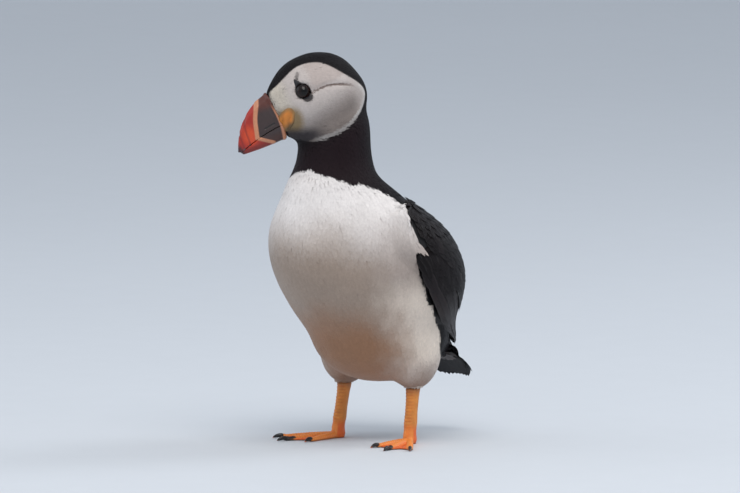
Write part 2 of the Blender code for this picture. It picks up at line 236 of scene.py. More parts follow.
face = {  # lines in the head's own axes: forward and up from its centre, in millimetres
    "outline": ((27.5, 11.5), (20.5, 16.2), (12, 21.2), (5.5, 23.2), (-2.5, 22.8), (-9.5, 19.6), (-17, 12.2),
                (-26.2, 1.5), (-28.2, -5.5), (-24.3, -12.6), (-17.2, -17.2), (-8, -20.6), (3.5, -22.4),
                (13, -21.6), (20, -18.5), (30, -17), (34, 0)),
    "crease": ((5.2, 7.0), (-2, 8.2), (-10, 7.2), (-18, 4.0), (-23, 1.0)),
    "eyeLine": ((8.6, 19.6), (11.0, 16.4), (10.4, 12.5), (9.0, 9.0), (8.0, 5.6)),
    "rosette": (22.6, -5.2),
}
body = {
    "axis": ((50.4, 50), (36.6, 68), (-24.4, 147), (-31.4, 162), (-33.4, 200)),  # the trunk's middle: y, z
    # the collar's lower edge: degrees round from the front, z
    "collar": ((0, 170), (12, 168.4), (34, 165.3), (55, 163), (75, 160.7), (107, 158.2), (180, 158)),
    # where black begins on the back, seen from the side: y, z
    "mantle": ((-16, 162), (-13, 150), (-11, 138), (-9, 131), (-4, 124.5), (6, 116), (14, 98), (24, 80),
               (28, 68), (31, 61), (35, 55), (42, 51), (60, 47), (90, 44)),
    # and where it begins seen from between the front and the side: slant, z
    "shoulder": ((-0.8, 159.5), (7.5, 154.8), (14.5, 150), (20.1, 146.8), (23.2, 137.3), (26.4, 129.5),
                 (31.1, 120), (35.0, 116.9), (25.8, 116.6), (28, 108), (32, 95), (37.4, 82), (40, 71),
                 (41, 50)),
    "slant": 42.0,
    # the tail's root (y, z), its fall, and how far under it the black goes on
    "rump": (43.0, 60.0, 0.577, 3.0),
    # heights between which the white goes over into painted shade, the pale low flank, the brown belly
    # (partly a stain, partly painted shade) and the painted shade at the flank's end
    "shade": (156, 113), "lowFlank": (112, 88), "bellyStainAndShadeHeights": (98, 66), "flankFootShade": (62, 46),
    # the same for the vent (y, z) and the painted shade round the thighs (distance from the leg, z)
    "vent": ((36, 54), (74, 56)), "thighs": ((17, 7), (58, 44)),
}
plumes = {
    # the grey of the flank is painted shade, on the side below the breast and low down at the flank's end
    "white": paint(227, 221, 218), "flankShade": paint(178, 165, 158), "flankLow": paint(226, 211, 196),
    "breastShade": paint(156, 138, 124),
    # the belly's brown is partly a stain and partly painted shade
    "belly": paint(150, 112, 86), "vent": paint(176, 168, 162), "cheek": paint(194, 184, 179),
    "cheekLowGreyAndShade": paint(120, 110, 105), "cheekRim": paint(192, 186, 182), "brow": paint(178, 164, 158),
    "line": paint(92, 74, 66), "eyeLine": paint(28, 24, 26), "lore": paint(206, 196, 180),
    "chin": paint(58, 54, 57), "gape": paint(132, 108, 66),
    "crown": paint(24, 21, 23), "collar": paint(31, 20, 24), "mantle": paint(15, 13, 16),
    "mantleWornAndSheen": paint(52, 47, 50), "thigh": paint(126, 98, 80),
}
faceLine = smoothCurve(face["outline"], 6, closed=True)
creaseLine = smoothCurve(face["crease"], 6)
eyeLine = smoothCurve(face["eyeLine"], 6)
bodyAxis = np.array(body["axis"], float)
collarLine = np.array(body["collar"], float)
mantleLine = np.array(body["mantle"], float)
shoulderLine = np.array(body["shoulder"], float)


def patches(waves):
    # soft uneven patches over the body, between about -1 and 1
    return lambda points: sum(np.sin(points @ wave + turn) for wave, turn in waves) / len(waves) ** 0.5


def newPatches(size, count=7):
    waves = []
    for _ in range(count):
        way = unit(chance.normal(size=3))
        waves.append((way * 2 * math.pi / (size * chance.uniform(0.7, 1.5)), chance.uniform(0, 6.28)))
    return patches(waves)


broadPatches = newPatches(34)
smallPatches = newPatches(9)


def headShare(points):
    # 1 on the head, 0 from the neck down
    f, _, u = inHead(points).T
    return ease(-27, -15, u + 0.17 * f)


def axisAt(heights):
    order = np.argsort(bodyAxis[:, 1])
    return np.interp(heights, bodyAxis[order, 1], bodyAxis[order, 0])


def legTop(side):
    # where the leg goes into the body, in millimetres
    places = vertexPlaces(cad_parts["leg_" + side]) / mm
    return places[places[:, 2] > places[:, 2].max() - 1.5].mean(axis=0)


legTops = {side: legTop(side) for side in sides}


def overCollar(points):
    # how far above the collar's lower edge, in millimetres
    return points[:, 2] / mm - np.interp(roundBody(points), collarLine[:, 0], collarLine[:, 1])


def slantOf(points):
    # how far round to the side and back a place is, seen from between the front and the side
    x, y, _ = (points / mm).T
    turn = math.radians(body["slant"])
    return np.abs(x) * math.cos(turn) + y * math.sin(turn)


def behindMantle(points):
    # how far into the black back, in millimetres
    _, y, z = (points / mm).T
    behind = y - np.interp(-z, -mantleLine[:, 1], mantleLine[:, 0])
    beside = slantOf(points) - np.interp(-z, -shoulderLine[:, 1], shoulderLine[:, 0])
    return np.maximum(behind, beside)


def roundBody(points):
    # how far round from the belly a place is: 0 in front, 180 at the back, in degrees
    x, y, z = (np.asarray(points) / mm).T
    return np.degrees(np.arctan2(np.abs(x + 0.8), -(y - axisAt(z))))


def underpartsTint(points, broad, small):
    # white, with painted shade below the breast, brown in the middle of the belly (partly a stain, partly
    # painted shade), pale again on the flank, with painted shade at the flank's foot and round the legs
    x, y, z = (points / mm).T
    aside = ease(0, 32, roundBody(points) - np.interp(z, (50, 100), (13, 28)) + 1.5 * small)
    low = mixed(plumes["breastShade"], plumes["flankShade"], 0.6 * aside)
    low = mixed(low, plumes["flankLow"], 0.96 * aside * ease(*body["lowFlank"], z + 2 * broad))
    white = mixed(plumes["white"], low, 0.98 * ease(*body["shade"], z + 2 * broad))
    white = mixed(white, plumes["belly"], ease(*body["bellyStainAndShadeHeights"], z + 4 * broad) * (1 - aside))
    white = mixed(white, plumes["flankShade"], 0.75 * ease(*body["flankFootShade"], z) * aside)
    ventBack, ventLow = body["vent"]
    white = mixed(white, plumes["vent"], 0.7 * ease(*ventBack, y) * ease(*ventLow, z))
    thighNear, thighLow = body["thighs"]
    # painted shade round the top of each leg, where it goes into the body
    for top in legTops.values():
        near = np.hypot(x - top[0], y - top[1])
        white = mixed(white, plumes["thigh"], 0.8 * ease(*thighNear, near) * ease(*thighLow, z))
    return white


def blackTint(points, broad, small):
    round_, z = roundBody(points), points[:, 2] / mm
    black = mixed(plumes["mantle"], plumes["collar"], ease(150, 168, z) * ease(150, 60, round_))
    black = mixed(black, plumes["crown"], headShare(points))
    # paler patches on the back: partly worn pale fringes, partly painted sheen
    worn = ease(0.35, 1.2, small + 0.5 * broad) * ease(60, 110, round_) * ease(162, 150, z)
    return mixed(black, plumes["mantleWornAndSheen"], 0.3 * worn)


def blackShare(points, normals, small):
    # 1 from the collar up, and down the back as far as the tail
    _, y, z = (points / mm).T
    onTop = np.maximum(ease(44, 50, z), ease(40, 46, y) * ease(-0.3, 0.1, normals[:, 2]))
    isBlack = np.maximum(ease(-0.6, 0.6, overCollar(points) + 0.7 * small),
                         ease(-0.8, 0.8, behindMantle(points) + 0.7 * small) * onTop)
    isBlack = np.maximum(isBlack, ease(36, 42, y) * ease(-0.35, 0.0, normals[:, 2]))
    rootY, rootZ, fall, under = body["rump"]
    return np.maximum(isBlack, ease(39, 44, y) * ease(-1.5, 0, z - (rootZ - fall * (y - rootY)) + under))


def faceTint(points, onFace):
    # the pale cheek, greyer low at the back (a grey wash and painted shade), its brow, lore, rim and chin,
    # the gape's yellow and the two dark lines
    f, _, u = inHead(points).T
    side = np.stack([f, u], axis=1)
    low = ease(5, -14, u + 0.3 * f) * ease(-29, -15, f)
    cheek = mixed(plumes["cheek"], plumes["cheekLowGreyAndShade"], 0.95 * low)
    cheek = mixed(cheek, plumes["brow"], 0.7 * ease(7.5, 10, u + 0.12 * f) * ease(6, 1, f))
    cheek = mixed(cheek, plumes["lore"], 0.8 * ease(15, 23, f) * ease(-4, 6, u))
    rim = ease(3.2, 1.8, onFace) * ease(6, -2, u) * ease(13, 6, f)
    cheek = mixed(cheek, plumes["cheekRim"], 0.95 * rim)
    fromGape = np.hypot(f - face["rosette"][0], (u - face["rosette"][1]) * 0.75)
    cheek = mixed(cheek, plumes["gape"], 0.85 * ease(10.5, 5.5, fromGape) * ease(6, -2, u))
    chin = ease(-9.5, -16.0, u - 0.3 * (f - 16)) * ease(0, 12, f) * ease(1.2, 3, onFace + 3 * ease(10, 16, f))
    cheek = mixed(cheek, plumes["chin"], 0.95 * chin)
    away, along = toLine(side, creaseLine)
    cheek = mixed(cheek, plumes["line"], 0.85 * ease(0.95, 0.3, away) * ease(1.0, 0.6, along))
    away, along = toLine(side, eyeLine)
    dark = ease(1.3, 0.4, away - 2.4 * ease(0.25, 0.65, along)) * (0.55 + 0.45 * ease(0.0, 0.4, along))
    return mixed(cheek, plumes["eyeLine"], 0.9 * dark)


def plumageAt(points, normals):
    # the colour of the plumage at each place, with its painted shade, the same for skin and coat
    f, v, u = inHead(points).T
    broad, small = broadPatches(points / mm), smallPatches(points / mm)
    colour = mixed(underpartsTint(points, broad, small), blackTint(points, broad, small),
                   blackShare(points, normals, small))
    onFace = insideLine(np.stack([f, u], axis=1), faceLine)
    isFace = ease(-0.35, 0.35, onFace) * ease(2.0, 4.0, np.abs(v)) * headShare(points)
    return mixed(colour, faceTint(points, onFace), isFace)


skinSettings = {
    "grain": 1.5, "smoothing": 14, "faceDepth": 0.8, "neckDepth": 1.3, "bodyDepth": 1.55,
    "creaseDepth": 0.9, "rimHeight": 0.7, "socket": 0.7,
    "meet": 0.3,  # how far the head, neck and trunk swell to meet across their gaps
    "tone": 0.9,  # the skin's share of its feathers' brightness
}


def coatDepth(points):
    # the coat's thickness, in metres: thinner on the neck and thin on the face
    trunk, neck, head = (skinSettings[part] for part in ("bodyDepth", "neckDepth", "faceDepth"))
    depth = trunk + (neck - trunk) * ease(145, 170, points[:, 2] / mm)
    onHead = headShare(points)
    return (depth * (1 - onHead) + head * onHead) * mm


def coatSurface():
    surface = nodesCopied("coat_surface", ["head", "neck", "trunk"], skinSettings["meet"] * mm)
    modified(surface, "REMESH", mode="VOXEL", voxel_size=skinSettings["grain"] * mm)
    modified(surface, "SMOOTH", factor=0.5, iterations=skinSettings["smoothing"])
    places, normals = vertexPlaces(surface), vertexNormals(surface)
    f, v, u = inHead(places).T
    side = np.stack([f, u], axis=1)
    onHead = headShare(places) * ease(2, 6, np.abs(v))
    away, along = toLine(side, creaseLine)
    push = -skinSettings["creaseDepth"] * np.exp(-(away / 1.5) ** 2) * ease(1.0, 0.6, along) * onHead
    onFace = insideLine(side, faceLine)
    lowBack = ease(8, -4, u) * ease(18, 8, f)
    push = push + skinSettings["rimHeight"] * (np.exp(-((onFace - 1.8) / 1.6) ** 2)
                                               - np.exp(-((onFace + 1.4) / 1.5) ** 2)) * lowBack * onHead
    fromEye = np.hypot(f - headPlace["eyeForward"], u - headPlace["eyeUp"])
    push = push - skinSettings["socket"] * np.exp(-(fromEye / 4.6) ** 2) * onHead
    movedTo(surface, places + normals * push[:, None] * mm)
    return surface


surface = coatSurface()
coatTree = surfaceTree(surface)
surfacePlaces, surfaceNormals = vertexPlaces(surface), vertexNormals(surface)
print("coat surface:", len(surface.data.polygons), "faces")


def nodeIn(tree, kind, **values):
    node = tree.nodes.new(kind)
    for name, value in values.items():
        setattr(node, name, value)
    return node


def linked(tree, source, socket):
    if isinstance(source, (int, float, tuple)):
        socket.default_value = source
    else:
        tree.links.new(source, socket)


def maths(tree, operation, *values):
    node = nodeIn(tree, "ShaderNodeMath", operation=operation)
    for value, socket in zip(values, node.inputs):
        linked(tree, value, socket)
    return node.outputs[0]


def colourMix(tree, share, first, second, blend="MIX"):
    node = nodeIn(tree, "ShaderNodeMix", data_type="RGBA", blend_type=blend)
    linked(tree, share, node.inputs[0])
    linked(tree, first, node.inputs[6])
    linked(tree, second, node.inputs[7])
    return node.outputs[2]


def spread(tree, value, low, high, fromLow=0.0, fromHigh=1.0):
    node = nodeIn(tree, "ShaderNodeMapRange")
    for k, part in enumerate((value, fromLow, fromHigh, low, high)):
        linked(tree, part, node.inputs[k])
    return node.outputs[0]


def noise(tree, place, scale, detail, roughness=0.5):
    node = nodeIn(tree, "ShaderNodeTexNoise")
    for label, value in (("Vector", place), ("Scale", scale), ("Detail", detail), ("Roughness", roughness)):
        linked(tree, value, node.inputs[label])
    return node.outputs["Fac"]


def newGroup(name, inputs, outputs):
    group = bpy.data.node_groups.new(name, "ShaderNodeTree")
    for label, value in inputs.items():
        socket = group.interface.new_socket(label, in_out="INPUT", socket_type="NodeSocketFloat")
        socket.default_value = value
    for label in outputs:
        group.interface.new_socket(label, in_out="OUTPUT", socket_type="NodeSocketFloat")
    return group, nodeIn(group, "NodeGroupInput").outputs, nodeIn(group, "NodeGroupOutput").inputs


def barbGroup():
    # the fine barbs that slant out from a feather's shaft, along its own UV map
    group, given, out = newGroup(
        "feather_barbs", {"Barbs": 40.0, "Slant": 0.5, "Depth": 0.4, "Shaft Rise": 0.5},
        ("Height", "Shaft", "Edge"))
    parts = nodeIn(group, "ShaderNodeSeparateXYZ")
    linked(group, nodeIn(group, "ShaderNodeUVMap", uv_map="vane").outputs[0], parts.inputs[0])
    fromShaft = maths(group, "ABSOLUTE", maths(group, "SUBTRACT", parts.outputs[0], 0.5))
    across = maths(group, "MULTIPLY", fromShaft, 2.0)
    lean = maths(group, "SUBTRACT", parts.outputs[1], maths(group, "MULTIPLY", across, given["Slant"]))
    turns = maths(group, "MULTIPLY", given["Barbs"], 6.283)
    wave = maths(group, "SINE", maths(group, "MULTIPLY", lean, turns))
    place = nodeIn(group, "ShaderNodeTexCoord").outputs["Object"]
    ragged = noise(group, place, scale=1500.0, detail=2.0, roughness=0.55)
    shaft = spread(group, across, 1.0, 0.0, fromHigh=0.09)
    height = maths(group, "MULTIPLY", maths(group, "ADD", wave, ragged), given["Depth"])
    rise = maths(group, "MULTIPLY", shaft, given["Shaft Rise"])
    linked(group, maths(group, "ADD", height, rise), out["Height"])
    linked(group, shaft, out["Shaft"])
    linked(group, spread(group, across, 0.0, 1.0, fromLow=0.72), out["Edge"])
    return group


def unevenGroup():
    # uneven tone over a surface: soft patches and a fine grain, as a factor near 1
    group, given, out = newGroup(
        "uneven_tone", {"Patch Size": 80.0, "Grain Size": 900.0, "Strength": 0.15}, ("Factor", "Grain"))
    place = nodeIn(group, "ShaderNodeTexCoord").outputs["Object"]
    patch, grain = [noise(group, place, given[label], detail=3.0) for label in ("Patch Size", "Grain Size")]
    both = maths(group, "ADD", patch, grain)
    swing = maths(group, "MULTIPLY", maths(group, "SUBTRACT", both, 1.0), given["Strength"])
    linked(group, maths(group, "ADD", swing, 1.0), out["Factor"])
    linked(group, grain, out["Grain"])
    return group


barbs, uneven = barbGroup(), unevenGroup()


def newMaterial(name, roughness, **constants):
    material = bpy.data.materials.new(name)
    material.use_nodes = True
    tree = material.node_tree
    shader = tree.nodes["Principled BSDF"]
    shader.inputs["Roughness"].default_value = roughness
    for label, value in constants.items():
        shader.inputs[label.replace("_", " ")].default_value = value
    return material, tree, shader


def placedGroup(tree, group, **values):
    node = nodeIn(tree, "ShaderNodeGroup", node_tree=group)
    for label, value in values.items():
        linked(tree, value, node.inputs[label.replace("_", " ")])
    return node.outputs


def toned(tree, shader, colour, patchSize, grainSize, strength):
    # a colour made uneven; gives back the grain
    tone = placedGroup(tree, uneven, Patch_Size=patchSize, Grain_Size=grainSize, Strength=strength)
    combined = nodeIn(tree, "ShaderNodeCombineXYZ")
    for socket in combined.inputs:
        linked(tree, tone["Factor"], socket)
    linked(tree, colourMix(tree, 1.0, colour, combined.outputs[0], "MULTIPLY"), shader.inputs["Base Color"])
    return tone["Grain"]


def bumped(tree, shader, height, strength, distance):
    bump = nodeIn(tree, "ShaderNodeBump")
    bump.inputs["Strength"].default_value = strength
    bump.inputs["Distance"].default_value = distance
    linked(tree, height, bump.inputs["Height"])
    linked(tree, bump.outputs[0], shader.inputs["Normal"])


def plumageMaterial(name, roughness, barbCount, depth, shaftRise=0.0, edge=0.0, **constants):
    material, tree, shader = newMaterial(name, roughness, **constants)
    colour = nodeIn(tree, "ShaderNodeAttribute", attribute_name="plumage").outputs["Color"]
    barb = placedGroup(tree, barbs, Barbs=barbCount, Slant=0.55, Depth=depth, Shaft_Rise=shaftRise)
    if edge:
        pale, dark = (0.5, 0.47, 0.45, 1), (0.012, 0.011, 0.012, 1)
        colour = colourMix(tree, maths(tree, "MULTIPLY", barb["Edge"], edge), colour, pale)
        colour = colourMix(tree, maths(tree, "MULTIPLY", barb["Shaft"], 0.5), colour, dark)
    grain = toned(tree, shader, colour, patchSize=60.0, grainSize=700.0, strength=0.22)
    linked(tree, spread(tree, grain, roughness - 0.08, roughness + 0.1), shader.inputs["Roughness"])
    bumped(tree, shader, barb["Height"], strength=0.35, distance=0.12 * mm)
    return material


def attributeMaterial(name, roughness, patchSize, grainSize, strength, bump, **constants):
    material, tree, shader = newMaterial(name, roughness, **constants)
    colour = nodeIn(tree, "ShaderNodeAttribute", attribute_name="plumage").outputs["Color"]
    grain = toned(tree, shader, colour, patchSize, grainSize, strength)
    linked(tree, spread(tree, grain, roughness - 0.1, roughness + 0.14), shader.inputs["Roughness"])
    bumped(tree, shader, grain, strength=0.4, distance=bump * mm)
    return material


whiteFeather = plumageMaterial("white_feather", roughness=0.75, barbCount=16.0, depth=0.12,
                               Sheen_Weight=0.2, Sheen_Roughness=0.5, Specular_IOR_Level=0.2)
faceFeather = plumageMaterial("face_feather", roughness=0.8, barbCount=9.0, depth=0.12,
                              Sheen_Weight=0.15, Specular_IOR_Level=0.15)
blackFeather = plumageMaterial("black_feather", roughness=0.55, barbCount=16.0, depth=0.4,
                               shaftRise=0.3, edge=0.01, Specular_IOR_Level=0.1)
flightFeather = plumageMaterial("flight_feather", roughness=0.45, barbCount=60.0, depth=0.6,
                                shaftRise=0.5, edge=0.03, Specular_IOR_Level=0.14)
skinCover = attributeMaterial("skin", roughness=0.7, patchSize=90.0, grainSize=900.0, strength=0.2,
                              bump=0.15)
hornCover = attributeMaterial("bill_horn", roughness=0.42, patchSize=160.0, grainSize=900.0, strength=0.3,
                              bump=0.12, Coat_Weight=0.15, Coat_Roughness=0.3)
fleshCover = attributeMaterial("bare_flesh", roughness=0.5, patchSize=220.0, grainSize=1500.0, strength=0.3,
                               bump=0.12, Subsurface_Weight=0.08, Subsurface_Scale=0.002)
clawCover = attributeMaterial("claw_horn", roughness=0.3, patchSize=300.0, grainSize=1500.0, strength=0.4,
                              bump=0.08)


def skin():
    piece = surface.copy()
    piece.data = surface.data.copy()
    piece.name = piece.data.name = "skin"
    bpy.context.scene.collection.objects.link(piece)
    depth = coatDepth(surfacePlaces)
    movedTo(piece, surfacePlaces - surfaceNormals * depth[:, None])
    tinted(piece, plumageAt(surfacePlaces, surfaceNormals) * skinSettings["tone"])
    piece.data.shade_smooth()
    return placed(piece, skinCover, "face_plumage", "head", "neck", "trunk")


skin()
print("skin made")


# a vane's section: how far across (-1 to 1) and how high (0 to 1)
fineVane = ((-1, 0), (0, 1), (1, 0))
broadVane = ((-1, 0), (-0.55, 0.5), (-0.07, 0.55), (0, 1.0), (0.07, 0.55), (0.55, 0.5), (1, 0))
bakePatch = 0.003  # each feather's patch on the OFBake map


def crispRims(mesh, sheet, count):
    # the two rims of each vane stay crisp; sheet: across and along for each point of one feather
    edge = np.empty(len(mesh.edges) * 2, np.int32)
    mesh.edges.foreach_get("vertices", edge)
    rim = np.zeros(len(sheet), np.int8)
    rim[sheet[:, 0] == -1] = 1
    rim[sheet[:, 0] == 1] = 2
    rim[-1] = 3
    kinds = np.sort(np.tile(rim, count)[edge].reshape(-1, 2), axis=1)
    sharp = (kinds[:, 0] > 0) & ((kinds[:, 0] == kinds[:, 1]) | (kinds[:, 1] == 3))
    mesh.attributes.new("sharp_edge", "BOOLEAN", "EDGE").data.foreach_set("value", sharp)


def featherFaces(rings, around):
    # the quads and triangles of one feather, by the numbers of its points
    quads = []
    for r in range(rings - 1):
        for k in range(around):
            n = (k + 1) % around
            quads.append((r * around + k, (r + 1) * around + k, (r + 1) * around + n, r * around + n))
    last, tip = (rings - 1) * around, rings * around
    tips = [(last + k, tip, last + (k + 1) % around) for k in range(around)]
    root = [(0, k, k + 1) for k in range(1, around - 1)]
    return np.array(quads), np.array(tips + root)


def softNormals(mesh, corners, rings, section, normals, lifted, across, soft):
    # the vane's top is shaded as part of the coat, its underside by itself
    count, around = len(normals), len(section)
    perFeather = rings * around + 1
    own = unit(normals * soft[0] + lifted * (1 - soft[0]))
    top = np.empty((count, perFeather, 3))
    for k, (a, _) in enumerate(section):
        top[:, k:rings * around:around] = own[:, :-1] + across[:, :-1] * a * soft[1]
    top[:, -1] = own[:, -1]
    under = np.empty_like(top)
    under[:, :-1] = -np.repeat(lifted[:, :-1], around, axis=1)
    under[:, -1] = -lifted[:, -1]
    # every quad's last side, and each tip's and root's last triangle, closes the vane underneath
    quadUnder = np.tile(np.repeat(np.tile(np.arange(around) == around - 1, rings - 1), 4), count)
    endUnder = np.zeros(2 * around - 2, bool)
    endUnder[around - 1:] = True
    below = np.concatenate([quadUnder, np.tile(np.repeat(endUnder, 3), count)])
    cornerNormals = np.where(below[:, None], under.reshape(-1, 3)[corners], top.reshape(-1, 3)[corners])
    mesh.normals_split_custom_set(unit(cornerNormals).astype(np.float32))


def featherMesh(name, centres, normals, widths, ridges, colours, unwrap, section=fineVane, soft=None):
    # centres and normals: feather, station, xyz; the last station is the tip's one point.
    # widths and ridges: feather, ring; colours: feather, station, rgb; unwrap: feather, uv.
    # soft: how far the shading follows the coat as a whole, and how round each vane looks across.
    count, stations = centres.shape[:2]
    rings, around = stations - 1, len(section)
    forward = np.gradient(centres, axis=1)
    across = unit(np.cross(normals, forward))
    lifted = unit(np.cross(forward, across))
    ring = np.empty((count, rings, around, 3))
    for k, (a, h) in enumerate(section):
        ring[:, :, k] = (centres[:, :-1] + across[:, :-1] * (widths * a)[..., None]
                         + lifted[:, :-1] * (ridges * h)[..., None])
    perFeather = rings * around + 1
    places = np.concatenate([ring.reshape(count, -1, 3), centres[:, -1:]], axis=1)
    along = np.arange(stations) / (stations - 1)
    sheet = np.empty((perFeather, 2))
    sheet[:-1, 0] = np.tile([a for a, _ in section], rings)
    sheet[:-1, 1] = np.repeat(along[:-1], around)
    sheet[-1] = (0, 1)
    first = np.arange(count)[:, None, None] * perFeather
    quads, triangles = [(faces[None] + first).reshape(-1, faces.shape[1])
                        for faces in featherFaces(rings, around)]
    mesh = bpy.data.meshes.new(name)
    mesh.vertices.add(count * perFeather)
    mesh.vertices.foreach_set("co", places.astype(np.float32).ravel())
    corners = np.concatenate([quads.ravel(), triangles.ravel()]).astype(np.int32)
    mesh.loops.add(len(corners))
    mesh.loops.foreach_set("vertex_index", corners)
    starts = np.concatenate([np.arange(len(quads)) * 4, len(quads) * 4 + np.arange(len(triangles)) * 3])
    mesh.polygons.add(len(starts))
    mesh.polygons.foreach_set("loop_start", starts.astype(np.int32))
    mesh.update(calc_edges=True)
    mesh.shade_smooth()
    crispRims(mesh, sheet, count)
    if soft:
        softNormals(mesh, corners, rings, section, normals, lifted, across, soft)
    vane = mesh.uv_layers.new(name="vane")
    vaneSheet = np.tile(sheet * (0.5, 1) + (0.5, 0), (count, 1))
    vane.data.foreach_set("uv", vaneSheet[corners].astype(np.float32).ravel())
    bake = mesh.uv_layers.new(name="OFBake")
    spot = (sheet * (0.5, 1) - (0, 0.5)) * bakePatch
    spots = (unwrap[:, None] + spot[None]).reshape(-1, 2)
    bake.data.foreach_set("uv", spots[corners].astype(np.float32).ravel())
    piece = bpy.data.objects.new(name, mesh)
    bpy.context.scene.collection.objects.link(piece)
    toneOf = np.append(np.repeat(np.arange(rings), around), rings)
    tinted(piece, np.asarray(colours)[:, toneOf].reshape(-1, 3))
    return piece


coat = {  # length, half width and spacing of the feathers, in millimetres
    "face": (3.9, 0.42, 0.52), "crown": (4.2, 0.52, 0.64), "neck": (6.5, 0.88, 0.92),
    "breast": (11.5, 1.12, 0.98), "back": (10.0, 2.2, 1.75), "thigh": (7.5, 0.8, 0.92),
    "stations": (0, 0.32, 0.62, 0.88, 1.0), "tries": 900000,
    # how much they turn, their tone and their length and width vary
    "turn": 0.11, "tone": 0.022, "lengths": (0.82, 1.15), "widths": (0.85, 1.15),
    # along the feather: width, height of the ridge and brightness
    "shape": (0.45, 0.9, 1.0, 0.8), "ridge": (0.08, 0.1, 0.08, 0.05), "shade": (0.84, 0.93, 0.98, 1.0, 1.01),
    "most": 8600,  # feathers in a piece
}


def coatSizes(points):
    # length, half width and spacing of the feather that grows at each place, in metres
    f, _, u = inHead(points).T
    x, y, z = (points / mm).T
    onHead, round_ = headShare(points), roundBody(points)
    fromEdge = insideLine(np.stack([f, u], axis=1), faceLine)
    faceEdge = onHead * ease(4, 1, np.abs(fromEdge))
    sizes = mixed(np.array(coat["breast"]), np.array(coat["back"]), ease(80, 110, round_))
    sizes = mixed(sizes, np.array(coat["neck"]), ease(150, 172, z))
    near = np.min([np.hypot(x - top[0], y - top[1]) for top in legTops.values()], axis=0)
    sizes = mixed(sizes, np.array(coat["thigh"]), ease(24, 12, near) * ease(66, 52, z))
    headSizes = mixed(np.array(coat["crown"]), np.array(coat["face"]), ease(-1, 1, fromEdge))
    sizes = mixed(sizes, headSizes, onHead)
    fromEye = np.hypot(f - headPlace["eyeForward"], u - headPlace["eyeUp"])
    small = onHead * np.maximum(ease(12, 4, fromEye), ease(17, 25, f))
    toEdge = np.minimum(np.abs(overCollar(points) - 1), np.abs(behindMantle(points)))
    atEdge = ease(5, 1.5, toEdge) * (1 - onHead) * ease(50, 60, z)
    small = np.maximum(small, np.maximum(0.8 * atEdge, 0.7 * faceEdge))
    sizes[:, 0] *= 1 - np.maximum(0.2 * atEdge, 0.4 * faceEdge)
    return sizes * (1 - 0.32 * small)[:, None] * mm


def coatFlow(points):
    # the way feathers lie: back from the bill, down the neck and the body, back under the vent
    onHead = headShare(points)[:, None]
    f, v, u = inHead(points).T
    back = -np.array(headForward) + np.array([0, 0, -0.38])
    x, _, z = (points / mm).T
    aside = np.sign(x) * ease(60, 90, roundBody(points)) * ease(150, 130, z) * 0.12
    down = np.stack([aside, np.full(len(x), 0.32), np.full(len(x), -1.0)], axis=1)
    flow = unit(back * onHead + down * (1 - onHead))
    # round the eye they part, as water round a stone
    ahead, above = f - headPlace["eyeForward"], u - headPlace["eyeUp"]
    away = np.maximum(np.hypot(ahead, above), 3.0)
    spoke = (ahead[:, None] * np.array(headForward) + above[:, None] * np.array(headUp)) / away[:, None]
    turnedBack = (2 * (flow * spoke).sum(1, keepdims=True) * spoke - flow) * (4.1 / away[:, None]) ** 2
    nearEye = (ease(11, 8, away) * headShare(points) * ease(6, 10, np.abs(v)))[:, None]
    flow = unit(flow - turnedBack * nearEye)
    # along the pale rim of the face they lie along it
    side = np.stack([f, u], axis=1)
    onFace = insideLine(side, faceLine)
    slope = np.stack([insideLine(side + step, faceLine) - onFace for step in ((0.4, 0), (0, 0.4))], axis=1)
    slope = unit(slope) * np.where(slope[:, 1] > 0, 1, -1)[:, None]
    along = -slope[:, 1:] * np.array(headForward) + slope[:, :1] * np.array(headUp)
    atRim = ease(5.5, 1.5, np.abs(onFace)) * headShare(points) * ease(3, 8, np.abs(v))
    share = 0.85 * atRim * ease(0.15, 0.5, np.abs(slope[:, 1]))
    return unit(mixed(flow, along, share))


def scattered(tries):
    # places over the coat's surface, more where the feathers are small
    mesh = surface.data
    mesh.calc_loop_triangles()
    corners = np.empty(len(mesh.loop_triangles) * 3, np.int32)
    mesh.loop_triangles.foreach_get("vertices", corners)
    a, b, c = surfacePlaces[corners.reshape(-1, 3).T]
    area = np.linalg.norm(np.cross(b - a, c - a), axis=1) / 2
    weight = area / coatSizes((a + b + c) / 3)[:, 2] ** 2
    pick = chance.choice(len(area), size=tries, p=weight / weight.sum())
    r1, r2 = np.sqrt(chance.random(tries))[:, None], chance.random(tries)[:, None]
    return a[pick] * (1 - r1) + b[pick] * r1 * (1 - r2) + c[pick] * r1 * r2


def thinned(points, spacing):
    # keeps a place only where no kept place is nearer than the spacing
    tree = KDTree(len(points))
    for k, point in enumerate(points):
        tree.insert(point, k)
    tree.balance()
    gone = np.zeros(len(points), bool)
    kept = []
    for k, point in enumerate(points):
        if gone[k]:
            continue
        kept.append(k)
        for _, other, _ in tree.find_range(point, spacing[k]):
            gone[other] = True
    return np.array(kept)


wingTrees = {side: surfaceTree(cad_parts["wing_" + side]) for side in sides}
tailTree = surfaceTree(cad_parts["tail"])
billTrees = [surfaceTree(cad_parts["bill_" + half]) for half in ("upper", "lower")]
legTrees = [surfaceTree(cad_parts["leg_" + side]) for side in sides]


def hiddenRoot(point, normal):
    # under a wing or the tail, in the bill's foot or in a leg
    start = point - normal * 0.5 * mm

    def covered(tree):
        return tree.ray_cast(start, normal, 14 * mm)[0] is not None

    def near(tree, distance):
        return tree.find_nearest(point)[3] < distance * mm

    return (any(covered(tree) and near(tree, 12) for tree in wingTrees.values())
            or covered(tailTree) or near(tailTree, 1.5)
            or any(near(tree, 0.5) for tree in billTrees)
            or any(near(tree, 0.3) for tree in legTrees))


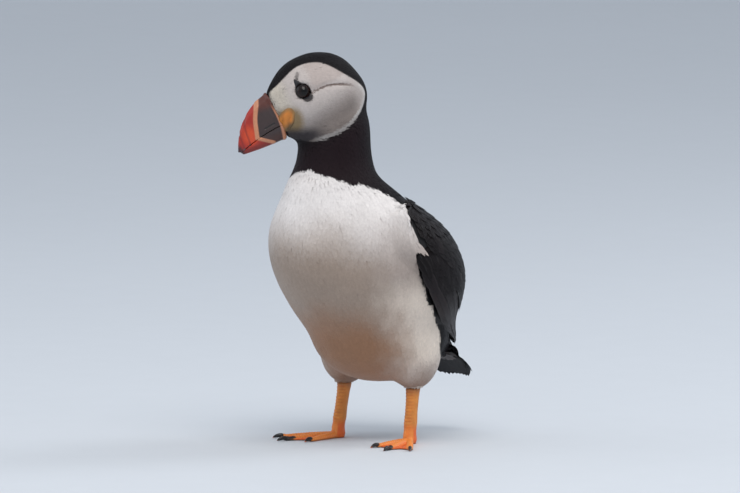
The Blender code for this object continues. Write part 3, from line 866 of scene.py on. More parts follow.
def grown(roots, stations, lengths, flow):
    # walks each feather over the coat's surface from its root
    centres = np.empty((len(roots), len(stations), 3))
    normals = np.empty_like(centres)
    steps = np.append(np.diff(stations), 0)
    for k, root in enumerate(roots):
        way, point = Vector(flow[k]), Vector(root)
        for s, step in enumerate(steps):
            place, normal, _, _ = coatTree.find_nearest(point)
            centres[k, s], normals[k, s] = place, normal
            way = (way - normal * way.dot(normal)).normalized()
            point = place + way * (lengths[k] * step)
    return centres, normals


def onUnwrap(points):
    # the bird's surface rolled out: round the body and up it, with the head's own roll above
    f, v, u = inHead(points).T
    x, y, z = (points / mm).T
    onHead = headShare(points) > 0.5
    bodyTurn = np.arctan2(x + 0.8, -(y - axisAt(z))) / (2 * math.pi)
    headTurn = np.arctan2(v, -u) / (2 * math.pi)
    across = 0.5 + 0.98 * np.where(onHead, headTurn, bodyTurn)
    up = np.where(onHead, 0.72 + 0.26 * (f + 33) / 62, 0.02 + 0.66 * (z - 35) / 160)
    return np.clip(np.stack([across, up], axis=1), 0.002, 0.998)


def coatRoots():
    # where the feathers grow, with their sizes and the way each one lies
    points = scattered(coat["tries"])
    sizes = coatSizes(points)
    kept = thinned(points, sizes[:, 2])
    points, sizes = points[kept], sizes[kept]
    flow = coatFlow(points)
    turned = chance.normal(0, coat["turn"], len(points))
    _, normals = grown(points, (0,), sizes[:, 0], flow)
    aside = unit(np.cross(normals[:, 0], flow))
    flow = unit(flow + aside * turned[:, None])
    f, v, u = inHead(points).T
    fromEye = np.hypot(f - headPlace["eyeForward"], u - headPlace["eyeUp"])
    clear = ~((fromEye < 4.0) & (np.abs(v) > 8) & (headShare(points) > 0.5))
    shown = np.array([ok and not hiddenRoot(Vector(p), Vector(n))
                      for p, n, ok in zip(points, normals[:, 0], clear)])
    return points[shown], sizes[shown], flow[shown]


def bodyCoat():
    points, sizes, flow = coatRoots()
    print("coat roots:", len(points))
    lengths = sizes[:, 0] * chance.uniform(*coat["lengths"], len(points))
    widths = sizes[:, 1] * chance.uniform(*coat["widths"], len(points))
    along = np.array(coat["stations"])
    centres, normals = grown(points, along, lengths, flow)
    tone = plumageAt((centres[:, 1] + centres[:, 2]) / 2, normals[:, 1])
    depth = coatDepth(points)
    # the roots sit in the skin, the tips just reach the coat's surface
    sink = depth[:, None] * ((1 - along[None]) ** 2.8 + chance.uniform(-0.01, 0.03, (len(points), 1)))
    centres = centres - normals * sink[..., None]
    tone = tone * chance.normal(1, coat["tone"], (len(points), 1))
    colours = np.clip(tone[:, None] * np.array(coat["shade"])[None, :, None], 0, 1)
    light = tone.mean(axis=1)
    onFace = insideLine(np.stack(inHead(points).T[[0, 2]], axis=1), faceLine)
    isFace = (onFace > -1) & (headShare(points) > 0.5) & (light > 0.05)
    isBlack = (light < 0.06) & ~isFace
    kinds = {"face": (isFace, faceFeather, "face_plumage", (0.85, 0.12)),
             "black": (isBlack, blackFeather, "black_plumage", (0.6, 0.3)),
             "white": (~isFace & ~isBlack, whiteFeather, "white_plumage", (0.85, 0.14))}
    spots = onUnwrap(points)
    widths, most = widths[:, None], coat["most"]
    for kind, (chosen, material, slot, soft) in kinds.items():
        which = np.flatnonzero(chosen)
        which = which[np.argsort(-points[which, 2])]
        for part, start in enumerate(range(0, len(which), most)):
            some = which[start:start + most]
            piece = featherMesh(f"{kind}_feathers_{part + 1}", centres[some], normals[some],
                                widths[some] * coat["shape"], widths[some] * coat["ridge"], colours[some],
                                spots[some], soft=soft)
            placed(piece, material, slot)
            print(piece.name, len(some), "feathers")


bodyCoat()
bpy.data.objects.remove(surface)


wing = {
    # the map of its outer face: rows and columns, the degrees round the body between which it is
    # looked for and their step, and more columns on the flank, more rows on the back and their step
    "rows": 30, "columns": 26, "sweep": (55, 184, 0.5), "lead": 7, "leadRows": 5, "leadStep": 2.0,
    "coreGrain": 0.8, "coreDepth": 1.2,
    "black": paint(14, 12, 14), "brown": paint(23, 16, 17), "blue": paint(18, 17, 22),
    # the pale tone is a painted sheen on a few primaries
    "worn": paint(44, 38, 40), "pale": paint(52, 46, 47),
    # small coverts: rows, where the first starts, from row to row, length, more for each row, half width
    "coverts": (13, -0.10, 0.043, 0.085, 0.008, 2.9),
    "covertStep": 4.4, "covertClear": 2.2,  # side by side, and clear of the white shoulder
    "ridge": 0.4,
    # rows of long feathers: how many, then for the first and the last one where it starts and ends
    # (s, c, s, c), its half width, how high its root and tip lie, and how blue it is
    "greaterCoverts": (11, (0.38, 0.05, 0.60, 0.06, 4.2, -1.2, 0.6, 0.05),
                       (0.38, 0.98, 0.60, 0.99, 4.2, -1.2, 0.6, 0.98)),
    "primaries": (10, (0.47, -0.03, 1.02, -0.13, 3.4, -1.0, 0.2, 0.1),
                  (0.47, 0.40, 0.75, 0.90, 4.0, -0.7, 0.7, 0.4)),
    "crossedTips": (8, (0.52, 0.35, 1.01, 0.45, 3.8, -1.0, 0.15, 0.5),
                    (0.52, 0.95, 0.94, 0.98, 3.8, -1.0, 0.40, 0.5)),
    "secondaries": (11, (0.46, 0.22, 0.76, 0.34, 4.5, -0.9, 0.85, 0.3),
                    (0.46, 0.98, 0.73, 1.00, 4.5, -0.7, 1.15, 0.9)),
    "innerFeathers": (4, (0.36, 0.74, 0.70, 0.82, 5.2, -0.8, 1.2, 0.9),
                      (0.36, 0.98, 0.65, 1.00, 5.2, -0.6, 1.4, 0.9)),
    "sheenPrimaries": (1, 2, 3, 5), "longPrimaries": (0.90, 0.95, 1.0), "stepped": 1.1,
    # white feathers on the shoulder: how many are tried, where, and their lengths
    "whites": 4200, "whiteRows": (-0.16, 0.42), "whiteColumns": (-0.27, 0.6), "whiteLengths": (0.085, 0.105),
    "whiteAbove": 132.0, "whiteFoot": (24.8, 117.8, 0.2),  # their lower edge: slant, z and its fall
}


def whiteFoot(places):
    # the height at which the white that laps over the wing's bend ends, in millimetres
    start, foot, fall = wing["whiteFoot"]
    return foot - fall * (slantOf(places) - start)


def wingCore(side):
    piece = nodesCopied("wing_core_" + side, ["wing_" + side])
    modified(piece, "REMESH", mode="VOXEL", voxel_size=wing["coreGrain"] * mm)
    modified(piece, "SMOOTH", factor=0.5, iterations=4)
    places, normals = vertexPlaces(piece), vertexNormals(piece)
    low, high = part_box("wing_" + side)
    thin = ease(high.z, high.z - 4 * mm, places[:, 2]) * ease(low.z, low.z + 12 * mm, places[:, 2])
    movedTo(piece, places - normals * (wing["coreDepth"] * (0.35 + 0.65 * thin))[:, None] * mm)
    white = ease(0.8, 2.2, np.minimum(-behindMantle(places), places[:, 2] / mm - whiteFoot(places)))
    tinted(piece, mixed(np.tile(wing["black"], (len(places), 1)), plumes["white"], white))
    piece.data.shade_smooth()
    return placed(piece, skinCover, "black_plumage", "wing_" + side)


def wingHits(side, z):
    # places and normals on the wing's outer face at one height, from front to back
    tree, sign = wingTrees[side], sides[side]
    axis = Vector((0, axisAt(z / mm) * mm, z))
    hits = []
    for turn in np.radians(np.arange(*wing["sweep"])):
        out = Vector((math.sin(turn) * sign, -math.cos(turn), 0))
        place, normal, _, _ = tree.ray_cast(axis + out * (140 * mm), -out, 140 * mm)
        if place is not None:
            hits.append((place, normal))
    return hits


def beyondEdge(place, way, height, count):
    # places in line beyond an edge of the wing, the farthest first, which sink into the coat
    line = []
    for k in range(count, 0, -1):
        under, normal, _, _ = coatTree.find_nearest(place + way * k * wing["leadStep"] * mm)
        line.append((under + normal * height * (1 - k / (count + 1)) ** 1.6, normal))
    return line


def wingMap(side):
    # the wing's outer face as a grid of places and normals: rows run down it, columns from front to back
    low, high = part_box("wing_" + side)
    rows = []
    for k, z in enumerate(np.linspace(high.z - 0.6 * mm, low.z + 0.6 * mm, wing["rows"])):
        hits = wingHits(side, z) or [rows[-1][len(rows[-1]) // 2]]
        row = [hits[int(round(j))] for j in np.linspace(0, len(hits) - 1, wing["columns"])]
        # a few columns more, on the flank in front of the wing
        _, under, _, _ = coatTree.find_nearest(row[0][0])
        way = row[0][0] - row[3][0]
        way = (way - under * way.dot(under)).normalized()
        height = coatTree.find_nearest(row[2][0])[3] * ease(0.42, 0.28, k / (wing["rows"] - 1))
        rows.append(beyondEdge(row[0][0], way, height, wing["lead"]) + row)
    # and a few rows more, on the back above it
    columns = []
    for (place, _), (third, _), (sixth, _) in zip(rows[1], rows[2], rows[5]):
        height = coatTree.find_nearest(third)[3]
        columns.append(beyondEdge(place, (place - sixth).normalized(), height, wing["leadRows"]))
    rows = list(zip(*columns)) + rows
    grid = np.array([[list(place) for place, _ in row] for row in rows])
    down = np.gradient(grid, axis=0)
    over = np.gradient(grid, axis=1)
    normals = unit(np.cross(over, down)) * sides[side]
    outwards = np.array([[list(normal) for _, normal in row] for row in rows])
    normals = np.where((normals * outwards).sum(-1, keepdims=True) < 0, -normals, normals)
    normals = unit(normals + 0.5 * outwards)
    return grid, normals


def onWing(map_, s, c):
    # a place on the wing's face: s from the shoulder (0) to the tip (1), c from front (0) to back (1).
    # A little before 0, c is on the flank in front of the wing, and s on the back above it.
    grid, normals = map_
    rows, columns = grid.shape[:2]
    i = np.clip(np.minimum(s, 1) * (wing["rows"] - 1) + wing["leadRows"], 0, rows - 1)
    j = np.clip(c * (wing["columns"] - 1) + wing["lead"], 0, columns - 1)
    i0, j0 = np.minimum(i.astype(int), rows - 2), np.minimum(j.astype(int), columns - 2)
    a, b = (i - i0)[..., None], (j - j0)[..., None]

    def read(field):
        return ((field[i0, j0] * (1 - a) + field[i0 + 1, j0] * a) * (1 - b)
                + (field[i0, j0 + 1] * (1 - a) + field[i0 + 1, j0 + 1] * a) * b)

    place = read(grid)
    step = (grid[-1].mean(0) - grid[-2].mean(0))
    beyond = np.maximum(s - 1, 0)[..., None]
    return place + unit(step) * beyond * 0.09, unit(read(normals))


vaneShapes = {
    "covert": ([0.35, 0.8, 1.0, 0.98, 0.7], 6),
    "flight": ([0.4, 0.75, 0.95, 1.0, 1.0, 0.98, 0.92, 0.72, 0.42], 10),
    "tail": ([0.5, 0.85, 1.0, 1.0, 1.0, 1.0, 1.0, 0.94, 0.74], 10),
}


def wingFeathers(name, map_, specs, kind, material=None, slot="black_plumage", soft=None):
    # specs: start s, start c, end s, end c, half width in mm, root lift, tip lift, ridge in mm, colour
    shape, stations = vaneShapes[kind]
    along = np.arange(stations) / (stations - 1)
    centres, normals, widths, ridges, colours = [], [], [], [], []
    for s0, c0, s1, c1, width, low, high, ridge, tone in specs:
        bow = 0.35 * (c1 - c0) * along * (1 - along)
        place, normal = onWing(map_, s0 + (s1 - s0) * along, c0 + (c1 - c0) * along + bow)
        lift = (low + (high - low) * along) * mm
        centres.append(place + normal * lift[:, None])
        normals.append(normal)
        widths.append(np.array(shape) * width * mm)
        ridges.append(np.full(stations - 1, ridge * mm) * np.linspace(1.2, 0.6, stations - 1))
        fade = np.linspace(0.92, 1.0, stations) if soft else np.linspace(0.8, 1.08, stations)
        colours.append(np.tile(tone, (stations, 1)) * fade[:, None])
    centres = np.array(centres)
    spots = 0.05 + 0.9 * np.array([spec[1::-1] for spec in specs], float)
    piece = featherMesh(name, centres, np.array(normals), np.array(widths), np.array(ridges),
                        np.clip(np.array(colours), 0, 1), np.clip(spots, 0.01, 0.99),
                        fineVane if soft else broadVane, soft)
    return placed(piece, material or flightFeather, slot)


def coverCount(map_, s):
    # how many coverts lie side by side in a row
    c = np.linspace(0, 1, 40)
    places, _ = onWing(map_, np.full(40, s), c)
    across = np.linalg.norm(np.diff(places, axis=0), axis=1).sum() / mm
    return max(4, round(across / wing["covertStep"]))


def wingTone(blueness):
    # black-brown, bluer at the back, with worn paler feathers here and there
    tone = wing["brown"] * (1 - blueness) + wing["blue"] * blueness
    tone = tone * 0.6 + wing["black"] * 0.4
    if chance.random() < 0.2:
        share = chance.uniform(0.2, 0.6)
        tone = tone * (1 - share) + wing["worn"] * share
    return tone * chance.uniform(0.8, 1.15)


def longRow(name):
    # the feathers of a row, from the first to the last
    count, first, last = wing[name]
    share = np.linspace(0, 1, count)[:, None]
    return np.array(first) + (np.array(last) - np.array(first)) * share


def wingCoverts(side, map_):
    rows, first, step, short, longer, width = wing["coverts"]
    specs = []
    for row in range(rows):
        s = first + row * step
        count = coverCount(map_, s + 0.03)
        for column in range(count):
            c = (column + 0.5 * (row % 2)) / (count - 0.5) + chance.normal(0, 0.008)
            length = short + longer * row
            shown, _ = onWing(map_, s + length * np.array([0.55, 0.85]), np.array([c, c]))
            inWhite = wing["covertClear"] - behindMantle(shown)
            aboveFoot = shown[:, 2] / mm - whiteFoot(shown)
            if (np.minimum(inWhite, aboveFoot) > 0).any():
                continue
            specs.append((s + chance.normal(0, 0.004), c, s + length, c + 0.015, width + 0.06 * row,
                          -1.1, 0.2 + 0.35 * chance.random(), wing["ridge"], wingTone(c)))
    wingFeathers(f"wing_coverts_{side}", map_, specs, "covert")
    # a row over the roots of the secondaries
    specs = []
    for k, (*line, blueness) in enumerate(longRow("greaterCoverts")):
        line[2] += 0.02 * math.sin(k * 2.1)
        specs.append((*line, wing["ridge"], wingTone(blueness)))
    wingFeathers(f"wing_greater_coverts_{side}", map_, specs, "flight")


def wingFlight(side, map_):
    specs = []
    # primaries, the longest along the front edge, each a step shorter behind it
    longest, row = wing["longPrimaries"], longRow("primaries")
    steps = len(row) - len(longest)
    for k, (*line, blueness) in enumerate(row):
        tone = wingTone(blueness)
        # a few primaries are painted paler: painted sheen
        if k in wing["sheenPrimaries"]:
            tone = tone * 0.5 + wing["pale"] * 0.5
        if k < len(longest):
            line[2] = longest[k]
        else:
            share = ((k + 1 - len(longest)) / steps) ** wing["stepped"]
            line[2] = row[0][2] + (row[-1][2] - row[0][2]) * share
        specs.append((*line, wing["ridge"], tone))
    # the crossed tips above the tail, the secondaries, and the long ones that lie along the back
    for name in ("crossedTips", "secondaries", "innerFeathers"):
        for *line, blueness in longRow(name):
            specs.append((*line, wing["ridge"], wingTone(blueness)))
    wingFeathers(f"wing_flight_feathers_{side}", map_, specs, "flight")


def wingWhites(side, map_):
    # white breast feathers lap over the shoulder and end in a point at the wing's bend
    count, front = wing["whites"], wing["whiteColumns"][0]
    s, c = np.sort(chance.uniform(*wing["whiteRows"], count)), chance.uniform(*wing["whiteColumns"], count)
    s1, c1 = s + chance.uniform(*wing["whiteLengths"], count), c + 0.03 * ease(-0.05, 0.05, c)
    middle, _ = onWing(map_, (s + s1) / 2, c)
    tip, _ = onWing(map_, s1, c1)
    foot = np.where(c1 < -0.015, 9, tip[:, 2] / mm - whiteFoot(tip))
    inside = np.minimum(np.minimum(-behindMantle(tip), -behindMantle(middle) - 0.5), foot)
    nearEdge = ease(4, 1, inside)
    s = s + (s1 - s) * 0.35 * nearEdge
    keep = (inside > 0.2) & (c > front * ease(0.45, 0.2, s) - 0.03)
    # the white takes the coat's colour at its place, with the same painted shade below the breast
    tones = plumageAt(middle, middle * 0)
    grey = (tones.mean(axis=1) < 0.35) & (middle[:, 2] > wing["whiteAbove"] * mm)
    tones = np.where(grey[:, None], plumes["white"] * 0.96, tones)
    tones = tones * chance.normal(1, coat["tone"], (count, 1))
    specs = []
    for k in np.flatnonzero(keep):
        rise = ease(front, -0.05, c[k])
        specs.append((s[k], c[k], s1[k], c1[k], 1.1 - 0.3 * nearEdge[k], -0.6,
                      0.65 * rise - 0.25 + 0.1 * chance.random(), 0.1, np.clip(tones[k], 0, 1)))
    wingFeathers(f"wing_bend_white_{side}", map_, specs, "covert", whiteFeather, "white_plumage",
                 soft=(0.85, 0.14))


for side in sides:
    wingGrid = wingMap(side)
    wingCore(side)
    wingCoverts(side, wingGrid)
    wingFlight(side, wingGrid)
    wingWhites(side, wingGrid)
print("wings made")


tail = {
    "drop": 30.0, "root": (43.0, 60.0), "middle": -1.2,
    "coreShare": 0.88, "coreRoot": 0.42, "coreThickness": 0.4,
    "black": paint(19, 17, 20), "under": paint(74, 69, 68), "ridge": 0.45,
    "droop": (5.4, 45.0),  # the most, and how far from the root it is reached
    # each row: from above (1) or below (-1), feathers, where they start and end along the tail,
    # half the row's width at its start and end, half width of a feather, lift, and how round the fan is
    "rows": (
        (1, 12, 3, 49.5, 7.5, 17.0, 4.1, 0.3, 0.27), (1, 9, 1, 24, 6.5, 14.5, 3.6, 1.0, 0.2),
        (1, 7, -1, 15, 6, 11, 3.2, 1.6, 0.2), (-1, 9, 6, 30, 8, 14.5, 3.6, 0.3, 0.25),
    ),
}


def drooped(reach):
    # how far the tail bends down at this distance from its root, in millimetres
    most, far = tail["droop"]
    return most * (np.maximum(reach, 0) / far) ** 2


def tailPlumage():
    core = nodesCopied("tail_core", ["tail"])
    modified(core, "REMESH", mode="VOXEL", voxel_size=0.7 * mm)
    modified(core, "SMOOTH", factor=0.5, iterations=3)
    drop = math.radians(tail["drop"])
    way = Vector((0, math.cos(drop), -math.sin(drop)))
    up = Vector((0, math.sin(drop), math.cos(drop)))
    root = Vector((0, *tail["root"])) * mm
    # the core is a thinner, smaller copy of the tail
    places = vertexPlaces(core) - np.array(root)
    reach, high = places @ np.array(way), places @ np.array(up) - tail["middle"] * mm
    places = places - reach[:, None] * (1 - tail["coreShare"]) * np.array(way)
    places = places - high[:, None] * (1 - tail["coreThickness"]) * np.array(up)
    places = places - drooped(reach / mm)[:, None] * np.array(up) * mm
    places[:, 0] *= tail["coreRoot"] + (tail["coreShare"] - tail["coreRoot"]) * ease(0, 30, reach / mm)
    movedTo(core, places + np.array(root))
    tinted(core, np.tile(tail["black"] * 0.7, (len(places), 1)))
    core.data.shade_smooth()
    placed(core, skinCover, "black_plumage", "tail")
    shape, stations = vaneShapes["tail"]
    along = np.arange(stations) / (stations - 1)
    feathers = {1: [], -1: []}
    for face, count, start, end, narrow, broad, width, lift, roundness in tail["rows"]:
        for k in range(count):
            out = 2 * k / (count - 1) - 1
            centres = []
            for step in along:
                reach = start + (end * (1 - roundness * out * out) - start) * step
                across = (narrow + (broad - narrow) * step) * out
                line = root + (way * reach + Vector((across, 0, 0))) * mm
                place = tailTree.ray_cast(line + up * face * 12 * mm, -up * face, 24 * mm)[0]
                if place is None:
                    place = tailTree.find_nearest(line + up * face * 3 * mm)[0]
                rise = face * (lift + 0.8 * (1 - abs(out)) - 0.5 * step) - drooped(reach)
                centres.append(place + up * rise * mm)
            shade = tail["under"] if face < 0 else tail["black"] * chance.uniform(0.8, 1.7)
            spot = (0.5 + 0.4 * out, 0.2 + end / 90)
            feathers[face].append((centres, np.array(up * face) + (0.25 * out, 0, 0), width, shade, spot))
    for face, name, material, slot in ((1, "tail_feathers", flightFeather, "black_plumage"),
                                       (-1, "under_tail_feathers", whiteFeather, "white_plumage")):
        lines, normals, widths, shades, spots = zip(*feathers[face])
        centres = np.array([[list(place) for place in line] for line in lines])
        centres[:, 1:-1] = (centres[:, :-2] + 2 * centres[:, 1:-1] + centres[:, 2:]) / 4
        normals = np.repeat(unit(np.array(normals))[:, None], stations, axis=1)
        widths = np.array(widths)[:, None] * np.array(shape) * mm
        ridges = np.full(widths.shape, tail["ridge"] * mm)
        colours = np.clip(shades, 0, 1)[:, None] * np.linspace(0.8, 1.15, stations)[None, :, None]
        piece = featherMesh(name, centres, normals, widths, ridges, colours, np.array(spots), broadVane)
        placed(piece, material, slot)


tailPlumage()
print("tail made")


bill = {  # lines in the head's own axes: forward and up, in millimetres
    "grain": 0.42,
    "stripe": ((34.2, 11.2), (39.2, 0.5), (41.6, -10.6)), "stripeBack": ((41.6, -10.6), (32.4, -16.4)),
    "base": ((28.6, 14), (25.6, -1), (25.2, -18)), "stripeHalf": 1.15, "baseHalf": 1.3,
    "grooves": (((40.5, 9.8), (46.2, -1), (46.6, -13.4)), ((46.0, 7.5), (50.4, -3), (50.6, -15))),
    "nostril": ((29.5, -5.2), (35.5, -6.6)),
    # heights of the ridges and depths of the grooves
    "stripeRise": 0.35, "baseRise": 0.6, "grooveDepth": 0.3, "nostrilDepth": 0.6,
    "peach": paint(196, 132, 98), "slate": paint(54, 39, 38), "slateTop": paint(86, 40, 30),
    "red": paint(162, 36, 22), "orange": paint(200, 68, 28), "darkRed": paint(112, 26, 22),
    "tip": paint(60, 26, 30),
}
stripeLine = smoothCurve(bill["stripe"], 8)
stripeBackLine = np.array(bill["stripeBack"])
baseLine = smoothCurve(bill["base"], 8)
grooveLines = [smoothCurve(groove, 8) for groove in bill["grooves"]]


def billTint(places):
    f, _, u = inHead(places).T
    side = np.stack([f, u], axis=1)
    awayUp, _ = toLine(side, stripeLine)
    awayDown, _ = toLine(side, stripeBackLine)
    base, _ = toLine(side, baseLine)
    edge = np.concatenate([stripeLine, stripeBackLine[1:]])
    outer = ease(-0.3, 0.3, f - np.interp(-u, -edge[:, 1], edge[:, 0]))
    red = mixed(bill["red"], bill["orange"], ease(7, 1.5, np.hypot(f - 45, (u + 8) * 0.8)))
    red = mixed(red, bill["darkRed"], 0.7 * ease(-13.5, -16.5, u))
    red = mixed(red, bill["tip"], ease(50.5, 53.8, f + 0.25 * (-12 - u)) * ease(-9, -14, u))
    slate = mixed(bill["slate"], bill["slateTop"], ease(2, 8, u) + 0.35 * ease(-9, -14, u))
    tint = mixed(slate, red, outer)
    stripeMark = np.maximum(ease(bill["stripeHalf"] + 0.35, bill["stripeHalf"] - 0.2, awayUp),
                            ease(bill["stripeHalf"] + 0.15, bill["stripeHalf"] - 0.35, awayDown))
    tint = mixed(tint, bill["peach"], stripeMark)
    ridge = mixed(bill["peach"] * 0.95, bill["slateTop"], ease(1, 7, u))
    tint = mixed(tint, ridge, ease(bill["baseHalf"] + 0.4, bill["baseHalf"] - 0.3, base))
    for groove in grooveLines:
        away, _ = toLine(side, groove)
        # the grooves are painted darker red: painted shade in them
        tint = mixed(tint, bill["darkRed"], 0.55 * ease(0.8, 0.2, away) * outer)
    return tint


def billHalf(half):
    piece = nodesCopied("bill_" + half + "_horn", ["bill_" + half])
    modified(piece, "REMESH", mode="VOXEL", voxel_size=bill["grain"] * mm)
    modified(piece, "SMOOTH", factor=0.5, iterations=3)
    places, normals = vertexPlaces(piece), vertexNormals(piece)
    f, _, u = inHead(places).T
    side = np.stack([f, u], axis=1)
    stripe, _ = toLine(side, stripeLine)
    back, _ = toLine(side, stripeBackLine)
    base, _ = toLine(side, baseLine)
    push = bill["stripeRise"] * np.exp(-np.minimum(stripe, back) ** 2)
    push = push + bill["baseRise"] * np.exp(-(base / 1.1) ** 2)
    for groove in grooveLines:
        away, _ = toLine(side, groove)
        push = push - bill["grooveDepth"] * np.exp(-(away / 0.55) ** 2) * ease(0, 1.5, u + 16.5)
    nostril, _ = toLine(side, np.array(bill["nostril"]))
    push = push - bill["nostrilDepth"] * np.exp(-(nostril / 0.5) ** 2) * (half == "upper")
    movedTo(piece, places + normals * push[:, None] * mm)
    tint = billTint(places)
    # the nostril is painted dark: painted shade in its slit
    tint = mixed(tint, bill["slate"] * 0.3, ease(0.7, 0.3, nostril) * (half == "upper"))
    tinted(piece, tint)
    piece.data.shade_smooth()
    return placed(piece, hornCover, "bill_horn", "bill_" + half)


for half in ("upper", "lower"):
    billHalf(half)
print("bill made")


eye = {
    "ball": 4.6, "ballOut": 15.0, "swell": 0.35, "iris": 2.9, "pupil": 1.9,
    "lidRadius": 3.15, "lidTube": 0.42, "lidOut": 18.0,
    "pupilTone": paint(8, 7, 8), "irisTone": paint(28, 18, 15), "ballTone": paint(22, 16, 15),
    "lidTone": paint(84, 38, 34),
}


def eyeMaterial():
    material, tree, shader = newMaterial("eye", 0.15, Coat_Weight=0.12, Coat_Roughness=0.04,
                                         Specular_IOR_Level=0.2)
    colour = nodeIn(tree, "ShaderNodeAttribute", attribute_name="plumage").outputs["Color"]
    toned(tree, shader, colour, patchSize=900.0, grainSize=2500.0, strength=0.35)
    return material


eyeCover = eyeMaterial()


def putAtEye(piece, side, out):
    # puts a piece modelled about the origin, +Z outwards and +Y up, onto the head
    outwards = headLeft * sides[side]
    turn = Matrix((headUp.cross(outwards), headUp, outwards)).transposed().to_4x4()
    place = fromHead(headPlace["eyeForward"], out * sides[side], headPlace["eyeUp"])
    piece.data.transform(Matrix.Translation(place) @ turn)
    piece.data.update()


def eyeball(side):
    deselected()
    bpy.ops.mesh.primitive_uv_sphere_add(segments=40, ring_count=24, radius=eye["ball"] * mm,
                                         location=(0, 0, 0))
    piece = bpy.context.object
    piece.name = piece.data.name = "eyeball_" + side
    places = vertexPlaces(piece) / mm
    away = np.hypot(places[:, 0], places[:, 1])
    places[:, 2] += eye["swell"] * ease(3.2, 0, away) * (places[:, 2] > 0)  # the cornea
    movedTo(piece, places * mm)
    tint = mixed(eye["pupilTone"], eye["irisTone"], ease(eye["pupil"] - 0.25, eye["pupil"] + 0.25, away))
    tint = mixed(tint, eye["ballTone"], ease(eye["iris"] - 0.5, eye["iris"] + 0.1, away))
    tinted(piece, np.where((places[:, 2] > 0)[:, None], tint, eye["ballTone"]))
    piece.data.shade_smooth()
    putAtEye(piece, side, eye["ballOut"])
    return placed(piece, eyeCover, "eye", "eye_" + side)


def eyeRing(side):
    deselected()
    bpy.ops.mesh.primitive_torus_add(major_radius=eye["lidRadius"] * mm, minor_radius=eye["lidTube"] * mm,
                                     major_segments=48, minor_segments=12)
    piece = bpy.context.object
    piece.name = piece.data.name = "eye_ring_" + side
    places = vertexPlaces(piece) / mm
    turn = np.arctan2(places[:, 1], places[:, 0])
    places[:, 1] *= 0.93
    places[:, 2] += 0.12 * np.sin(turn * 17) * ease(2.6, 4.0, np.hypot(places[:, 0], places[:, 1]))
    places[:, 2] -= 0.25 * np.cos(turn) ** 2
    movedTo(piece, places * mm)
    tinted(piece, np.tile(eye["lidTone"], (len(places), 1)))
    piece.data.shade_smooth()
    putAtEye(piece, side, eye["lidOut"])
    return placed(piece, fleshCover, "orange_skin")


def ovalReach(long, short, tilt):
    # an oval's half size at each angle
    def reach(turn):
        a = turn - math.radians(tilt)
        return 1 / math.sqrt((math.cos(a) / long) ** 2 + (math.sin(a) / short) ** 2)
    return reach


def wedgeReach(high, low, wide, lean):
    # the same for a narrow triangle that points up
    def reach(turn):
        a = turn - math.radians(lean)
        tall = high if math.sin(a) > 0 else low
        size = 1 / math.sqrt((math.cos(a) / wide) ** 2 + (math.sin(a) / tall) ** 2)
        return size * (1 - 0.25 * math.sin(2 * abs(a - math.pi / 2)) * max(math.sin(a), 0))
    return reach


# soft pads that follow the head: their middle in the head's axes, half size each way and height
pads = {
    "eye_plate_upper": {"middle": (10.0, 12.0), "reach": wedgeReach(5.4, 1.2, 2.1, -12), "height": 0.45,
                        "colour": paint(30, 27, 31)},
    "eye_plate_lower": {"middle": (8.0, 5.0), "reach": ovalReach(2.7, 0.8, 12), "height": 0.4,
                        "colour": paint(36, 33, 37)},
    "gape_rosette": {"middle": face["rosette"], "reach": ovalReach(7.9, 4.3, 118), "height": 1.05,
                     "colour": paint(200, 122, 44), "rim": paint(142, 106, 62), "low": paint(96, 76, 46),
                     "folds": 0.2, "foldCount": 9, "foldTilt": 114},
}


def domed(name, side):
    pad = pads[name]
    folds, foldTilt = pad.get("folds", 0), math.radians(pad.get("foldTilt", 0))
    deselected()
    bpy.ops.mesh.primitive_uv_sphere_add(segments=64, ring_count=24, radius=1, location=(0, 0, 0))
    piece = bpy.context.object
    piece.name = piece.data.name = f"{name}_{side}"
    places = vertexPlaces(piece)
    turn = np.arctan2(places[:, 1], places[:, 0])
    away = np.hypot(places[:, 0], places[:, 1])
    size = np.array([pad["reach"](angle) for angle in turn])
    out = headLeft * sides[side]
    made = np.empty_like(places)
    cross = away * np.sin(turn - foldTilt)
    wander = 0.8 * np.sin(away * np.cos(turn - foldTilt) * 3)
    bump = 1 + folds * np.cos(cross * pad.get("foldCount", 8) + wander)
    size = size * (1 + 0.12 * folds * np.cos(turn * 5 + 0.5))
    for k, (x, y, z) in enumerate(places):
        forward, up = pad["middle"][0] + x * size[k], pad["middle"][1] + y * size[k]
        place, normal, _, _ = coatTree.ray_cast(fromHead(forward, 40 * sides[side], up), -out, 60 * mm)
        if place is None:
            place, normal, _, _ = coatTree.find_nearest(fromHead(forward, 12 * sides[side], up))
        rise = pad["height"] * bump[k] * z if z > 0 else 0.9 * z
        made[k] = place + normal * rise * mm
    movedTo(piece, made)
    tint = np.tile(pad["colour"], (len(places), 1))
    if folds:
        tint = mixed(tint, pad["rim"], ease(0.6, 0.98, away))
        # the rosette's lower half is painted darker: painted shade
        tint = mixed(tint, pad["low"], ease(0.0, -0.9, places[:, 1]))
    # darker in the hollows of the folds: painted shade
    tinted(piece, tint * np.clip(0.55 + 0.45 * bump, 0, 1.1)[:, None])
    turnedOut(piece)
    return placed(piece, fleshCover, "orange_skin")


for side in sides:
    eyeball(side)
    eyeRing(side)
    for name in pads:
        domed(name, side)
print("eyes and rosettes made")


